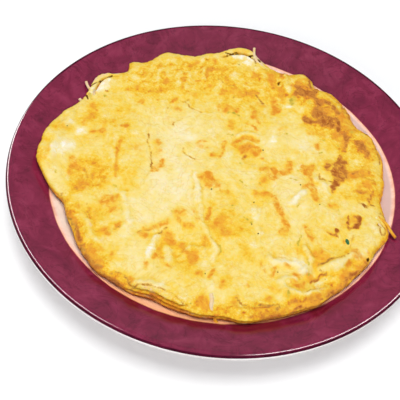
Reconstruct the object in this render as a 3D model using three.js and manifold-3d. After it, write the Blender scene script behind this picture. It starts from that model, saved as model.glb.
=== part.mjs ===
// A flat round omelette on its dinner plate.
// Millimetres, +Z up. The origin is on the table, under the middle of the plate.
import * as THREE from 'three';
import { mergeVertices } from 'three/addons/utils/BufferGeometryUtils.js';
import Module from 'manifold-3d';

const wasm = await Module();
wasm.setup();

// ---- driving dimensions -------------------------------------------------------------------

// Plate
const PLATE_RADIUS = 140;         // a 28 cm dinner plate
const FLOOR_TOP = 8;              // height of the well's floor above the table
const WALL = 4.6;                 // thickness of the fired body
const FLOOR_RADIUS = 97;          // the floor is flat out to here
const BEND_RADIUS = 110;          // from here the rim climbs straight
const RIM_SLOPE = 0.44;           // rise of the rim for each millimetre outwards
const LIP_BEAD = 1.1;             // radius of the round bead on the lip
const BEAD_SINK = 0.35;           // how far the bead's middle lies below the rim's slope
const BEAD_START = 165;           // degrees round the bead where it rises out of the rim
const LIP_GROOVE = 1.32;          // the glaze dips to here, inside the bead's middle
const LIP_FACE = 3.5;             // height of the upright face under the bead's middle
const LIP_EASE = 1.5;             // easing under that face: inwards
const LIP_EASE_DROP = 0.9;        // and downwards
const UNDER_SHIFT = 3;            // the underside bends this much further out than the top
const FOOT_RADIUS = 75;           // middle of the foot ring
const FOOT_WIDTH = 3;             // its flat underside, which stands on the table
const FOOT_TAPER = 2;             // how much wider it is, each side, where it joins the floor
const PLATE_SEGMENTS = 72;
const BEND_STEPS = 4;
const BEAD_STEPS = 5;
const UNDER_STEPS = 3;

// Omelette
const EGG_RADIUS = 111;           // the round that the pan gave it
const EGG_MIDDLE = 19.8;          // height of its top above the table, in the middle
const EGG_EDGE = 18.6;            // the same just inside its shoulder
const EGG_THIN_EDGE = 16.4;       // and along the thin right side
const THIN_SIDE = { at: 15, half: 45 };           // where that side is, in degrees
const CLIMB = 0.15;               // share of the rim's rise that the top follows all round
const CLIMB_LEFT = 0.55;          // and as much more on the left, which lies up on the rim
const LEFT_SIDE = { at: 182, half: 28 };
const CLEARANCE = 0.35;           // left between the omelette and the glaze
const EDGE_BAND = 15;             // width of the band that the edge sections shape
const EGG_SEGMENTS = 144;
const TOP_RINGS = 11;
const UNDER_RINGS = 3;
const SHRED_SIDES = 7;
const SHRED_STEPS = 9;
const SHRED_FLATNESS = 0.8;       // height of a shred's section as a share of its width

const DEGREE = Math.PI / 180;

// Bulges and dents of the outline: angle, reach in millimetres, and the half width before and
// after that angle, in degrees. Angles run anticlockwise from +X, seen from above.
const OUTLINE = [
  { at: 20, reach: -0.8, before: 6, after: 4 },
  { at: 32, reach: -5, before: 5, after: 6 },
  { at: 47, reach: 0.8, before: 4, after: 3 },
  { at: 55, reach: -2.6, before: 3, after: 1.5 },
  { at: 61, reach: 3, before: 3, after: 3 },        // a small corner that sticks out
  { at: 71, reach: -7.2, before: 5, after: 6 },
  { at: 86, reach: 10.2, before: 6, after: 7.5 },   // thin leaf at the back
  { at: 99.5, reach: 3, before: 4.5, after: 3 },
  { at: 116, reach: 6.8, before: 7, after: 8 },
  { at: 129.5, reach: 6, before: 4, after: 2 },
  { at: 143, reach: 8.6, before: 7, after: 6 },     // thin leaf at the back left
  { at: 181, reach: 11.6, before: 23, after: 14 },  // the left side lies up on the plate's rim
  { at: 203, reach: -4.8, before: 5, after: 12 },
  { at: 232, reach: 2.6, before: 6, after: 8 },
  { at: 252, reach: -1.8, before: 6, after: 5 },
  { at: 279, reach: 1.4, before: 3.5, after: 5 },
  { at: 296, reach: 3.6, before: 24, after: 24 },
  { at: 338, reach: 2.6, before: 10, after: 6 },
  { at: 353, reach: -5.4, before: 8, after: 14 },
];

// Fine waves all round the outline: number, reach, and start in radians.
const RIPPLES = [
  { waves: 19, reach: 0.4, start: 0.6 },
  { waves: 31, reach: 0.3, start: 0 },
];

// Rises and hollows of the top: place, height and radius.
const SWELLS = [
  { x: -104, y: -6, rise: 1.2, radius: 20 },
  { x: -76, y: 22, rise: 0.9, radius: 24 },
  { x: -90, y: -20, rise: -1.2, radius: 10 },
  { x: -60, y: -6, rise: 0.8, radius: 15 },
  { x: -44, y: -8, rise: -1.0, radius: 9 },
  { x: -56, y: 78, rise: 1.0, radius: 18 },
  { x: -18, y: 62, rise: -0.9, radius: 14 },
  { x: 2, y: 88, rise: 1.1, radius: 18 },
  { x: 30, y: 62, rise: -1.3, radius: 13 },
  { x: 52, y: 86, rise: 1.3, radius: 11 },
  { x: 66, y: 56, rise: 0.9, radius: 13 },
  { x: 44, y: 22, rise: 0.9, radius: 22 },
  { x: 80, y: 2, rise: 0.8, radius: 14 },
  { x: 14, y: 12, rise: -0.8, radius: 11 },
  { x: -24, y: -26, rise: 0.9, radius: 26 },
  { x: 46, y: -22, rise: 1.0, radius: 18 },
  { x: -30, y: -66, rise: -1.0, radius: 12 },
  { x: -56, y: -60, rise: 0.9, radius: 16 },
  { x: 14, y: -56, rise: 0.8, radius: 18 },
  { x: 62, y: -82, rise: -2.0, radius: 7 },
  { x: 72, y: -71, rise: 1.8, radius: 8 },
  { x: 50, y: -95, rise: 1.4, radius: 9 },
  { x: 88, y: -46, rise: 1.0, radius: 12 },
  { x: -20, y: -92, rise: 0.8, radius: 15 },
];

// Sections of the edge. Each point is [outwards past the outline in millimetres, height as a
// share of the omelette's thickness there], from the top, round the edge, to the underside.
const SECTIONS = {
  round: [
    [-15, 1], [-11, 0.995], [-8.2, 0.985], [-7.2, 0.975], [-6.2, 0.96], [-4.2, 0.91], [-2.3, 0.82],
    [-0.9, 0.7], [0, 0.55], [-0.15, 0.46], [-0.45, 0.4], [-0.7, 0.33], [-1.3, 0.22], [-2.4, 0.1],
    [-4, 0.02], [-8, 0],
  ],
  // flat and thin where it meets the plate
  thin: [
    [-15, 1], [-11, 0.98], [-8.2, 0.95], [-7.2, 0.93], [-6.2, 0.9], [-4.2, 0.82], [-2.3, 0.7],
    [-0.9, 0.56], [0, 0.42], [-0.05, 0.36], [-0.1, 0.31], [-0.2, 0.26], [-0.5, 0.18], [-1.2, 0.08],
    [-2.6, 0.02], [-8, 0],
  ],
  // a lower leaf that stands out past the top one, with an open gap between them
  leaf: [
    [-15, 1], [-11, 1], [-8.8, 0.96], [-7.8, 0.35], [-6.5, 0.3], [-5.6, 0.88], [-3.4, 0.93],
    [-1.2, 0.87], [0, 0.74], [-0.4, 0.62], [-0.9, 0.52], [-1.3, 0.42], [-1.9, 0.28], [-2.8, 0.12],
    [-4.2, 0.02], [-8, 0],
  ],
  // three leaves over each other, parted by short slits
  stack: [
    [-15, 1], [-11, 1], [-6.4, 0.99], [-4, 0.96], [-2.6, 0.9], [-2.4, 0.8], [-5, 0.74],
    [-3, 0.68], [-1.3, 0.62], [-1.1, 0.53], [-3.6, 0.47], [-1.6, 0.4], [-0.2, 0.32], [-0.5, 0.14],
    [-2.6, 0.02], [-8, 0],
  ],
  // the top turned over the side, with one long slit under it
  split: [
    [-15, 1], [-11, 0.99], [-8.2, 0.975], [-7.2, 0.96], [-6, 0.94], [-4, 0.9], [-2, 0.83],
    [-0.5, 0.74], [-0.1, 0.64], [-1.4, 0.55], [-3.4, 0.5], [-1, 0.44], [-0.2, 0.33], [-0.9, 0.16],
    [-2.6, 0.02], [-8, 0],
  ],
};

// Stretches of the edge that have another section than the round one, in degrees.
const STRETCHES = [
  { section: 'leaf', at: 144.5, half: 5, fade: 2.5 },
  { section: 'leaf', at: 87.5, half: 5, fade: 2.5 },
  { section: 'stack', at: 253, half: 8, fade: 4 },
  { section: 'split', at: 272, half: 7, fade: 5 },
  { section: 'split', at: 313, half: 17, fade: 8 },
  { section: 'thin', at: 20, half: 44, fade: 10 },
];

// Loose shreds of fried egg on the edge: radius and middle line.
const SHREDS = [
  { radius: 1.2, line: [[-96, 52, 18], [-101, 56, 18], [-102.2, 60.5, 18.4], [-103.4, 64.5, 18.8]] },
  {
    radius: 1.1,
    line: [[27, 99, 16.6], [23, 103.5, 17.2], [18.4, 107, 17.6], [16.2, 112, 18], [16, 118, 18.4]],
  },
  {
    radius: 1.4,
    line: [
      [97, -24, 15], [102.4, -29.5, 15.6], [106, -35.5, 16.2], [108, -39.8, 16.4], [110, -43.6, 16.6],
    ],
  },
  { radius: 1, line: [[96, -31, 15.4], [100.4, -33.4, 16.2], [103, -38, 15.8], [104, -43, 14.2]] },
  { radius: 1.2, line: [[-0.6, -101, 18], [-0.4, -106, 18.2], [0.6, -110, 16.8], [2, -112, 14.2]] },
];

// ---- materials ----------------------------------------------------------------------------

const glaze = new THREE.MeshStandardMaterial({ color: 0x84304b, roughness: 0.14, metalness: 0 });
const egg = new THREE.MeshStandardMaterial({ color: 0xfbd76a, roughness: 0.5, metalness: 0 });

// ---- shared shapes ------------------------------------------------------------------------

const mix = (a, b, t) => a + (b - a) * t;
const smooth = (t) => {
  const s = Math.min(Math.max(t, 0), 1);
  return s * s * (3 - 2 * s);
};
const bell = (distance, half) => Math.exp(-((distance / half) ** 2));
const turnFrom = (a, b) => ((b - a + 540) % 360) - 180;

// Height of the glaze on the upper side of the plate, at a distance from its middle.
function glazeHeight(radius) {
  const bend = BEND_RADIUS - FLOOR_RADIUS;
  const out = radius - FLOOR_RADIUS;
  if (out <= 0) return FLOOR_TOP;
  if (out <= bend) return FLOOR_TOP + (RIM_SLOPE * out * out) / (2 * bend);
  return FLOOR_TOP + RIM_SLOPE * (out - bend / 2);
}

// ---- plate --------------------------------------------------------------------------------

// The turned section, from the middle of the upper side, over the lip, to the middle underneath.
function plateSection() {
  const line = [[0, FLOOR_TOP]];
  for (let step = 0; step <= BEND_STEPS; step += 1) {
    const radius = mix(FLOOR_RADIUS, BEND_RADIUS, step / BEND_STEPS);
    line.push([radius, glazeHeight(radius)]);
  }
  const beadMiddle = PLATE_RADIUS - LIP_BEAD;
  const beadHeight = glazeHeight(beadMiddle) - BEAD_SINK;
  const groove = beadMiddle - LIP_GROOVE;
  line.push([groove, glazeHeight(groove)]);
  for (let step = 0; step <= BEAD_STEPS; step += 1) {
    const turn = mix(BEAD_START, 0, step / BEAD_STEPS) * DEGREE;
    line.push([beadMiddle + LIP_BEAD * Math.cos(turn), beadHeight + LIP_BEAD * Math.sin(turn)]);
  }
  line.push([PLATE_RADIUS, beadHeight - LIP_FACE]);
  line.push([PLATE_RADIUS - LIP_EASE, beadHeight - LIP_FACE - LIP_EASE_DROP]);
  for (let step = UNDER_STEPS; step >= 0; step -= 1) {
    const radius = mix(FLOOR_RADIUS, BEND_RADIUS, step / UNDER_STEPS) + UNDER_SHIFT;
    line.push([radius, glazeHeight(radius) - WALL]);
  }
  const footHalf = FOOT_WIDTH / 2;
  line.push([FOOT_RADIUS + footHalf + FOOT_TAPER, FLOOR_TOP - WALL]);
  line.push([FOOT_RADIUS + footHalf, 0]);
  line.push([FOOT_RADIUS - footHalf, 0]);
  line.push([FOOT_RADIUS - footHalf - FOOT_TAPER, FLOOR_TOP - WALL]);
  line.push([0, FLOOR_TOP - WALL]);
  return line.map(([radius, height]) => new THREE.Vector2(radius, height));
}

function makePlate() {
  const turned = new THREE.LatheGeometry(plateSection().reverse(), PLATE_SEGMENTS);
  turned.rotateX(90 * DEGREE);
  const plate = new THREE.Mesh(turned, glaze);
  plate.name = 'plate';
  return plate;
}

// ---- omelette -----------------------------------------------------------------------------

function outlineRadius(angle) {
  let radius = EGG_RADIUS;
  for (const { at, reach, before, after } of OUTLINE) {
    const turn = turnFrom(at, angle);
    radius += reach * bell(turn, turn < 0 ? before : after);
  }
  for (const { waves, reach, start } of RIPPLES) {
    radius += reach * Math.cos(waves * angle * DEGREE + start);
  }
  return radius;
}

// How much of a stretch's section the edge has at an angle, from 0 to 1.
const shareOf = ({ at, half, fade }, angle) => (
  smooth((half + fade - Math.abs(turnFrom(at, angle))) / fade)
);

// The edge section at an angle: the round one, with the others blended in on their stretches.
function edgeSection(angle) {
  return SECTIONS.round.map(([out, height], index) => {
    const point = [out, height];
    for (const stretch of STRETCHES) {
      const share = shareOf(stretch, angle);
      const other = SECTIONS[stretch.section][index];
      point[0] = mix(point[0], other[0], share);
      point[1] = mix(point[1], other[1], share);
    }
    return point;
  });
}

// Height of the omelette's top. Where it lies on the rim it climbs with the rim, most of all on
// the left, and the right side is thinner than the rest.
function topHeight(x, y) {
  const radius = Math.hypot(x, y);
  const angle = (Math.atan2(y, x) / DEGREE + 360) % 360;
  const thin = bell(turnFrom(THIN_SIDE.at, angle), THIN_SIDE.half);
  const edge = mix(EGG_EDGE, EGG_THIN_EDGE, thin);
  let height = mix(EGG_MIDDLE, edge, smooth(radius / EGG_RADIUS));
  const climb = CLIMB + CLIMB_LEFT * bell(turnFrom(LEFT_SIDE.at, angle), LEFT_SIDE.half);
  height += climb * (glazeHeight(radius) - FLOOR_TOP);
  for (const swell of SWELLS) {
    height += swell.rise * bell(Math.hypot(x - swell.x, y - swell.y), swell.radius);
  }
  return height;
}

const underHeight = (x, y) => glazeHeight(Math.hypot(x, y)) + CLEARANCE;

// One line from the middle of the underside, up round the edge, to the middle of the top.
function eggLine(angle) {
  const turn = angle * DEGREE;
  const outline = outlineRadius(angle);
  const place = (radius, share) => {
    const x = radius * Math.cos(turn);
    const y = radius * Math.sin(turn);
    return new THREE.Vector3(x, y, mix(underHeight(x, y), topHeight(x, y), share));
  };
  const line = [];
  for (let ring = 0; ring < TOP_RINGS; ring += 1) {
    line.push(place(((outline - EDGE_BAND) * ring) / TOP_RINGS, 1));
  }
  const edge = edgeSection(angle);
  for (const [out, share] of edge) line.push(place(outline + out, share));
  const underRadius = outline + edge.at(-1)[0];
  for (let ring = UNDER_RINGS - 1; ring >= 0; ring -= 1) {
    line.push(place((underRadius * ring) / UNDER_RINGS, 0));
  }
  return line.reverse();
}

// A lathe makes the closed skin, and each of its points then moves to its place on the egg.
function eggShell() {
  const points = eggLine(0).length;
  const guide = Array.from({ length: points }, (_, index) => {
    const turn = (180 * index) / (points - 1) * DEGREE;
    return new THREE.Vector2(Math.sin(turn) * EGG_RADIUS, -Math.cos(turn));
  });
  const shell = new THREE.LatheGeometry(guide, EGG_SEGMENTS);
  const position = shell.getAttribute('position');
  for (let segment = 0; segment <= EGG_SEGMENTS; segment += 1) {
    const line = eggLine(((segment % EGG_SEGMENTS) * 360) / EGG_SEGMENTS);
    line.forEach((point, index) => {
      position.setXYZ(segment * points + index, point.x, point.y, point.z);
    });
  }
  return shell;
}

function shredGeometry({ radius, line }) {
  const path = new THREE.CatmullRomCurve3(line.map((point) => new THREE.Vector3(...point)));
  const section = new THREE.Shape();
  for (let side = 0; side < SHRED_SIDES; side += 1) {
    const turn = (360 * side) / SHRED_SIDES * DEGREE;
    const point = [radius * Math.cos(turn), radius * SHRED_FLATNESS * Math.sin(turn)];
    if (side === 0) section.moveTo(...point);
    else section.lineTo(...point);
  }
  return new THREE.ExtrudeGeometry(section, { steps: SHRED_STEPS, extrudePath: path });
}

// A closed solid of a geometry, for joining, and the geometry of a joined solid.
function solidOf(geometry) {
  const bare = geometry.clone();
  bare.deleteAttribute('normal');
  bare.deleteAttribute('uv');
  const merged = mergeVertices(bare, 1e-4);
  return new wasm.Manifold(new wasm.Mesh({
    numProp: 3,
    vertProperties: new Float32Array(merged.getAttribute('position').array),
    triVerts: new Uint32Array(merged.getIndex().array),
  }));
}

function geometryOf(solid) {
  const { vertProperties, triVerts } = solid.getMesh();
  const geometry = new THREE.BufferGeometry();
  geometry.setAttribute('position', new THREE.BufferAttribute(vertProperties, 3));
  geometry.setIndex(new THREE.BufferAttribute(triVerts, 1));
  geometry.computeVertexNormals();
  return geometry;
}

function makeOmelette() {
  let solid = solidOf(eggShell());
  for (const shred of SHREDS) solid = solid.add(solidOf(shredGeometry(shred)));
  const omelette = new THREE.Mesh(geometryOf(solid), egg);
  omelette.name = 'omelette';
  return omelette;
}

// ---- the whole ----------------------------------------------------------------------------

const group = new THREE.Group();
group.add(makePlate(), makeOmelette());

export default group;
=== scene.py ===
"""The looks of a flat round omelette on its burgundy dinner plate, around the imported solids.

Lengths in the lists are millimetres, and MM turns them into Blender's metres. Angles are degrees,
anticlockwise from +X, seen from above.
"""
import math
import random

import bpy
import numpy as np
from mathutils import Matrix, Quaternion, Vector, noise


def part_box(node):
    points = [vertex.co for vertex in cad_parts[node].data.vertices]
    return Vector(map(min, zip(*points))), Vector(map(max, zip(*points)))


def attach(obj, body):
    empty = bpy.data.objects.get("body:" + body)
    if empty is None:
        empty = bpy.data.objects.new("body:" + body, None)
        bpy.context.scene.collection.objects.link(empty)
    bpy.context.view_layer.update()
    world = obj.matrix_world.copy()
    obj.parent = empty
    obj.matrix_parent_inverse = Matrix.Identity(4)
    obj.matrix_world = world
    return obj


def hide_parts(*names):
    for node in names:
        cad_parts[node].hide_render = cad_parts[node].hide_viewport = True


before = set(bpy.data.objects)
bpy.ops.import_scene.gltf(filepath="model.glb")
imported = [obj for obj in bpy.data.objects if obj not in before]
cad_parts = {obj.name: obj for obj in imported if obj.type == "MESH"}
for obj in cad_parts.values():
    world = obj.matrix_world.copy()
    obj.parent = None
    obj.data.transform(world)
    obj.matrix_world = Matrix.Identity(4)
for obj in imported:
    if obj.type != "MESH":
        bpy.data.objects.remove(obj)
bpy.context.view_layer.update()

MM = 0.001

# ---- sizes ------------------------------------------------------------------------------------

# Plate: the same turned section as the solid's, drawn finer, with a rounder lip
PLATE_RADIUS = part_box("plate")[1].x / MM
PLATE_STEPS = 240
FLOOR_TOP = 8.0
WALL = 4.6
FLOOR_RADIUS = 97.0        # the floor is flat up to here
BEND_RADIUS = 110.0        # and bends up to the rim's slope by here
RIM_SLOPE = 0.44
RIM_FOOT = 113.0           # the rim climbs straight from here
LIP_RISE = 128.0           # and a little more steeply from here, up to the bead
LIP_BEAD = 2.5             # radius of the bead on the lip
BEAD_SINK = 1.62           # its middle lies this far below the line of the rim
BEAD_START = 119.7         # angle at which the rim runs into it
LIP_FACE = 1.6             # height of the upright outer face below the bead's middle
LIP_CORNER = (0.3, 0.4)    # rounding at the foot of that face, inwards and up
LIP_EASE = (1.5, 0.9)      # slope from there to the underside, inwards and down
UNDER_SHIFT = 3.0          # the underside bends this much further out
FOOT_RADIUS = 75.0
FOOT_WIDTH = 3.0
FOOT_TAPER = 2.0
FOOT_EASE = (0.3, 0.6)     # rounding at the bottom of the foot, outwards and up

# Glazes on the plate
WELL_EDGE = 114.5          # the coloured glaze starts here
EDGE_WOBBLE = 1.2          # its edge wanders by this much
CREEP = 2.0                # and it has crept in by this much
CREEP_SIDE = (0.67, 0.74, 0)  # on this side
CREEP_START = 100.0        # past this distance towards that side
LIP_SHADE = 1.15           # width of the painted shade on the lip's outer side, drawn as dark dull glaze
LIP_SHADE_BACK = 3.1       # and its width at the back
LIP_SHADE_TURN = (0.1, 0.6)  # it widens while y goes from one to the other share of the radius
COLOUR_LINE = 22.1         # the coloured glaze ends at this height on the lip's outer face
GLAZE_EDGE = 1.2           # below the upper side by this much, the glaze is white
FOOT_BARE = 0.5            # height of the bare clay on the foot

# Omelette
EGG_RADIUS = 111.0
EGG_MIDDLE = 19.8          # height of the upper side in the middle, at the edge, at the thin side
EGG_EDGE = 18.6
EGG_THIN_EDGE = 16.4
THIN_SIDE = (15, 45)       # angle and half width
CLIMB = 0.15               # share of the rim's slope that the upper side follows
CLIMB_LEFT = 0.55          # and how much more on the left
LEFT_SIDE = (182, 28)      # angle and half width
CLEARANCE = 0.35           # gap between the egg and the glaze
EDGE_BAND = 15.0           # width of the edge that the sections below draw
UNDER_INSET = 8.0          # width of the sections' last run, under the egg
EGG_STEPS = 640
TOP_RINGS = 92
RING_BIAS = 0.86           # below 1, rings lie closer towards the edge
EDGE_RINGS = 46
UNDER_RINGS = 4
RINGS = TOP_RINGS + EDGE_RINGS + UNDER_RINGS
RIDGE_LIFT = 1.4           # millimetres for a ridge of height 1
LEDGE = 2.0                # a place is high or low against what lies this far away

# Random waves: reach, size in millimetres, seed
WANDER_X = [(1.6, 9, 11), (0.9, 3.2, 12)]  # strokes wander, as set egg does
WANDER_Y = [(1.6, 9, 21), (0.9, 3.2, 22)]
RELIEF = [(0.45, 14, 31), (0.36, 6, 32), (0.16, 2.6, 33)]
SWIRLS = [(1.0, 11, 41), (0.6, 4.5, 42)]  # of more and less done egg
CRUMBS = [(0.35, 22, 3), (0.5, 60, 5)]  # on the outline: reach, waves all round, seed

OUTLINE = [  # angle, reach, half width before and after
    (20, -0.8, 6, 4), (32, -5, 5, 6), (47, 0.8, 4, 3), (55, -2.6, 3, 1.5), (62, 3.6, 3.5, 3),
    (71, -4.4, 5, 6), (86, 10.2, 6, 7.5), (99.5, 3, 4.5, 3), (116, 6.8, 7, 8), (129.5, 6, 4, 2),
    (143, 8.6, 7, 6), (181, 11.6, 23, 14), (203, -4.8, 5, 12), (232, 2.6, 6, 8), (252, -1.8, 6, 5),
    (279, 1.4, 3.5, 5), (296, 3.6, 24, 24), (338, 2.6, 10, 6), (353, -5.4, 8, 14),
]
RIPPLES = [(19, 0.4, 0.6), (31, 0.3, 0)]  # waves all round, reach, start in radians

SWELLS = [  # x, y, rise, radius
    (-104, -6, 1.2, 20), (-76, 22, 0.9, 24), (-90, -20, -1.2, 10), (-60, -6, 0.8, 15), (-44, -8, -1.0, 9),
    (-56, 78, 1.0, 18), (-18, 62, -0.9, 14), (2, 88, 1.1, 18), (30, 62, -1.3, 13), (52, 86, 1.3, 11),
    (66, 56, 0.9, 13), (44, 22, 0.9, 22), (80, 2, 0.8, 14), (14, 12, -0.8, 11), (-24, -26, 0.9, 26),
    (46, -22, 1.0, 18), (-30, -66, -1.0, 12), (-56, -60, 0.9, 16), (14, -56, 0.8, 18), (62, -82, -2.0, 7),
    (72, -71, 1.8, 8), (50, -95, 1.4, 9), (88, -46, 1.0, 12), (-20, -92, 0.8, 15),
]

SECTIONS = {  # outwards past the outline, height as a share of the thickness
    "round": [
        (-15, 1), (-11, 0.995), (-8.2, 0.985), (-7.2, 0.975), (-6.2, 0.96), (-4.2, 0.91), (-2.3, 0.82),
        (-0.9, 0.7), (0, 0.55), (-0.1, 0.46), (-0.3, 0.4), (-0.5, 0.33), (-0.4, 0.2), (-0.6, 0.09),
        (-1.2, 0.02), (-8, 0),
    ],
    "thin": [
        (-15, 1), (-11, 0.98), (-8.2, 0.95), (-7.2, 0.93), (-6.2, 0.9), (-4.2, 0.82), (-2.3, 0.7),
        (-0.9, 0.56), (0, 0.42), (-0.05, 0.36), (-0.1, 0.31), (-0.2, 0.26), (-0.5, 0.18), (-0.6, 0.08),
        (-1.2, 0.02), (-8, 0),
    ],
    "leaf": [
        (-15, 1), (-11, 1), (-8.8, 0.96), (-7.8, 0.35), (-6.5, 0.3), (-5.6, 0.88), (-3.4, 0.93),
        (-1.2, 0.87), (0, 0.74), (-0.3, 0.62), (-0.7, 0.52), (-1, 0.42), (-1.4, 0.28), (-2, 0.12),
        (-3, 0.02), (-8, 0),
    ],
    "strip": [
        (-15, 1), (-11, 1), (-8, 0.985), (-6.2, 0.96), (-5.2, 0.5), (-4.6, 0.46), (-3.8, 0.84),
        (-2.4, 0.9), (-1.2, 0.85), (0, 0.74), (-0.3, 0.62), (-0.7, 0.52), (-1, 0.42), (-1.4, 0.28),
        (-3, 0.02), (-8, 0),
    ],
    "stack": [
        (-15, 1), (-11, 1), (-6.4, 0.99), (-4, 0.96), (-2.6, 0.9), (-2.4, 0.8), (-5, 0.74), (-3, 0.68),
        (-1.3, 0.62), (-1.1, 0.53), (-3.6, 0.47), (-1.6, 0.4), (-0.2, 0.32), (-0.4, 0.14), (-1.1, 0.02),
        (-8, 0),
    ],
    "split": [
        (-15, 1), (-11, 0.99), (-8.2, 0.975), (-7.2, 0.96), (-6, 0.94), (-4, 0.9), (-2, 0.83),
        (-0.5, 0.74), (-0.1, 0.64), (-1.4, 0.55), (-3.4, 0.5), (-1, 0.44), (-0.2, 0.33), (-0.5, 0.14),
        (-1.1, 0.02), (-8, 0),
    ],
}
STRETCHES = [  # section, angle, half width, fade
    ("strip", 144.5, 5, 2.5), ("leaf", 87.5, 5, 2.5), ("stack", 253, 8, 4), ("split", 272, 7, 5),
    ("split", 313, 17, 8), ("thin", 20, 44, 10),
]
SHREDS = [  # paint, radius and middle line of the loose shreds on the edge
    ("blush", 0.95, [(-98.6, 57.6, 17.2), (-101, 60.2, 18), (-102.4, 62.4, 18.4), (-103.4, 64.8, 18.7)]),
    ("blush", 1.0, [(-101.5, 46, 16.4), (-103.6, 47, 17), (-105.2, 48.4, 17)]),
    ("blush", 1.0, [(27, 99, 16.6), (23, 103.5, 17.2), (18.4, 107, 17.6), (15.8, 114, 18),
     (15.8, 121.6, 18.4)]),
    ("toast", 0.9, [(98, -23, 15), (101, -29, 15.8), (105.5, -33, 16.4), (107.4, -38.6, 16.4),
     (110, -43.6, 16.6)]),
    ("blush", 0.9, [(95, -27, 15.4), (98.4, -31.4, 16.2), (101.6, -35, 16), (102, -40, 15.4),
     (104, -45, 14.2)]),
    ("blush", 1.3, [(-1.6, -99, 18), (-0.6, -103, 18.4), (-1.2, -107, 17.6), (0.8, -110, 16)]),
    ("toast", 1.0, [(0.4, -107.6, 17), (2.4, -110, 14.6), (1.8, -112, 12.6), (3.6, -113.6, 11.6)]),
]

# Colours and folds on the omelette's upper side, placed one by one
WASH = [  # wide soft patches that fried longer: strength, half width, then the middle line
    (0.47, 20, (-60, 75), (-20, 85), (30, 85)), (0.58, 16, (62, 75), (72, 50)),
    (0.4, 14, (90, 35), (92, -5)), (0.4, 11, (-91, -15), (-89, -26)), (0.25, 13, (-88, 36), (-70, 20)),
    (0.5, 5, (-97, -42), (-78, -80), (-50, -101)),
    (0.5, 5, (-45, -104), (0, -109), (45, -103), (84, -72)), (0.25, 12, (-34, -64), (-14, -76)),
    (0.25, 12, (5, -45), (5, -56)), (0.3, 5, (-117, 12), (-117, -14)), (0.2, 10, (-70, -50), (-72, -80)),
    (0.25, 10, (-80, -15), (-60, -12)), (0.2, 12, (5, 55), (20, 50)), (0.25, 9, (14, 17)),
    (0.2, 12, (66, -62)),
]
COOL = [  # wide soft patches that stayed pale
    (0.35, 20, (-32, 24), (-34, -30)), (0.3, 12, (-106, -4), (-106, -26)),
    (0.25, 12, (45, -14), (46, -36)), (0.25, 12, (30, 26), (44, 28)), (0.25, 10, (-45, -60), (-42, -85)),
    (0.2, 10, (-58, -45)), (0.25, 8, (45, -74)), (0.2, 8, (10, 98)),
]
PALE = [  # cream patches, with a few painted highlights among them
    (1, 3, (-97.5, 56.5), (-93, 58.5), (-88, 62)), (0.9, 2, (-91, 64), (-87, 69)),
    # the strokes near the left edge, from (-107, 1) down to (-110.5, -7.5), are painted highlights
    (0.8, 1.8, (-105, 22.7)), (0.8, 2.5, (-99.5, 18.2), (-97.7, 14)), (0.8, 4, (-107, 1), (-102, 1.8)),
    (0.9, 3, (-111, -3), (-108, -3)), (0.8, 1.6, (-110.5, -7.5), (-107, -7)),
    (0.5, 1.5, (-99, -22), (-98.6, -26)), (0.5, 3, (-84, 31.8)), (0.5, 2, (-75, 12.7)),
    (0.5, 2, (-72.7, 29)), (0.5, 2, (-67.7, 79)), (0.4, 1.6, (-52.7, 85), (-52.7, 68)),
    (0.4, 4, (-56, 40), (-52, 40)), (0.6, 7, (-34, 23), (-27, 22)), (0.4, 3, (-6.8, 17.7)),
    (0.8, 2, (-23.2, 104), (-23.2, 101.5)), (0.6, 3.5, (1.8, 88.5), (1.8, 86)),
    (0.45, 1.6, (-37.7, 84), (-37.7, 74)), (0.45, 1.6, (-31, 84), (-31, 70)),
    (0.9, 3.5, (10, 103.5), (14, 103)), (1, 2.6, (1, 109), (9, 109.5), (15, 108)), (0.7, 1.8, (19, 99)),
    (0.9, 1.2, (36, 83)), (0.8, 0.9, (41.5, 100), (41, 94)), (0.8, 1.8, (41, 62), (44, 62)),
    (0.8, 1, (38, 60.5)), (0.9, 2, (32, 29), (32, 25)), (0.6, 2, (24, 27), (24.5, 24)),
    (0.4, 2.5, (30, 20)), (0.5, 4, (50, 8), (52, 6)), (0.5, 5, (55, 32), (52, 24)), (0.6, 3, (89, 15)),
    (0.5, 2.5, (69, 37)), (0.35, 11, (-36, -8), (-34, -30), (-30, -22)),
    (0.6, 2, (-61.5, -33), (-60.5, -38)), (0.5, 1.5, (-57, -46), (-55, -56)),
    (0.6, 1.2, (-17.3, -14), (-16.5, -24), (-15, -33)), (0.8, 1.5, (45, -27), (49, -21), (52, -18)),
    (0.6, 4.5, (67, -9), (66, -12)), (0.5, 3, (88, -24), (86, -27)), (0.5, 2.5, (93, -48), (91, -55)),
    (0.6, 3, (-69.5, -58)), (0.5, 3, (-68, -68)), (0.5, 3, (-58, -61), (-56, -66)),
    (0.9, 2.3, (-40, -72), (-41, -76)), (0.7, 1.6, (-38.5, -64), (-38.5, -70)),
    (0.5, 3, (-29.5, -72), (-29, -79)), (0.5, 1.8, (-4, -64), (-2.5, -74)),
    (0.6, 2.5, (-36, -96), (-30, -96)), (0.5, 2.5, (-16, -104)), (0.7, 1.8, (21, -63.5)),
    (0.7, 2, (20.5, -36), (22, -42)), (0.7, 4, (48, -71), (51, -76)), (0.6, 3, (40, -71), (34, -74)),
    (0.6, 1.3, (53, -62), (56, -69)), (0.4, 2, (38, -97.5)),
    (0.55, 2, (40, -88), (44, -92), (52, -94), (58, -91), (64, -87.5)), (0.6, 2, (60.5, -82), (60, -86)),
    (0.5, 2.6, (64, -73.5), (71, -71), (77, -67), (83, -61)), (0.6, 3, (89, -59), (87, -63)),
    # the small spot at (99, -30) is a painted highlight
    (0.5, 2, (94, -33), (96, -38)), (0.9, 0.8, (99, -30)), (0.8, 1.2, (-1, -100.5), (0, -106.5)),
    (0.5, 2, (2.5, 10), (2, 5)), (0.5, 3, (11, 76), (13, 80)), (0.4, 4, (24, 73)),
    (0.5, 2.5, (44, 86), (42, 78)),
]
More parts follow.
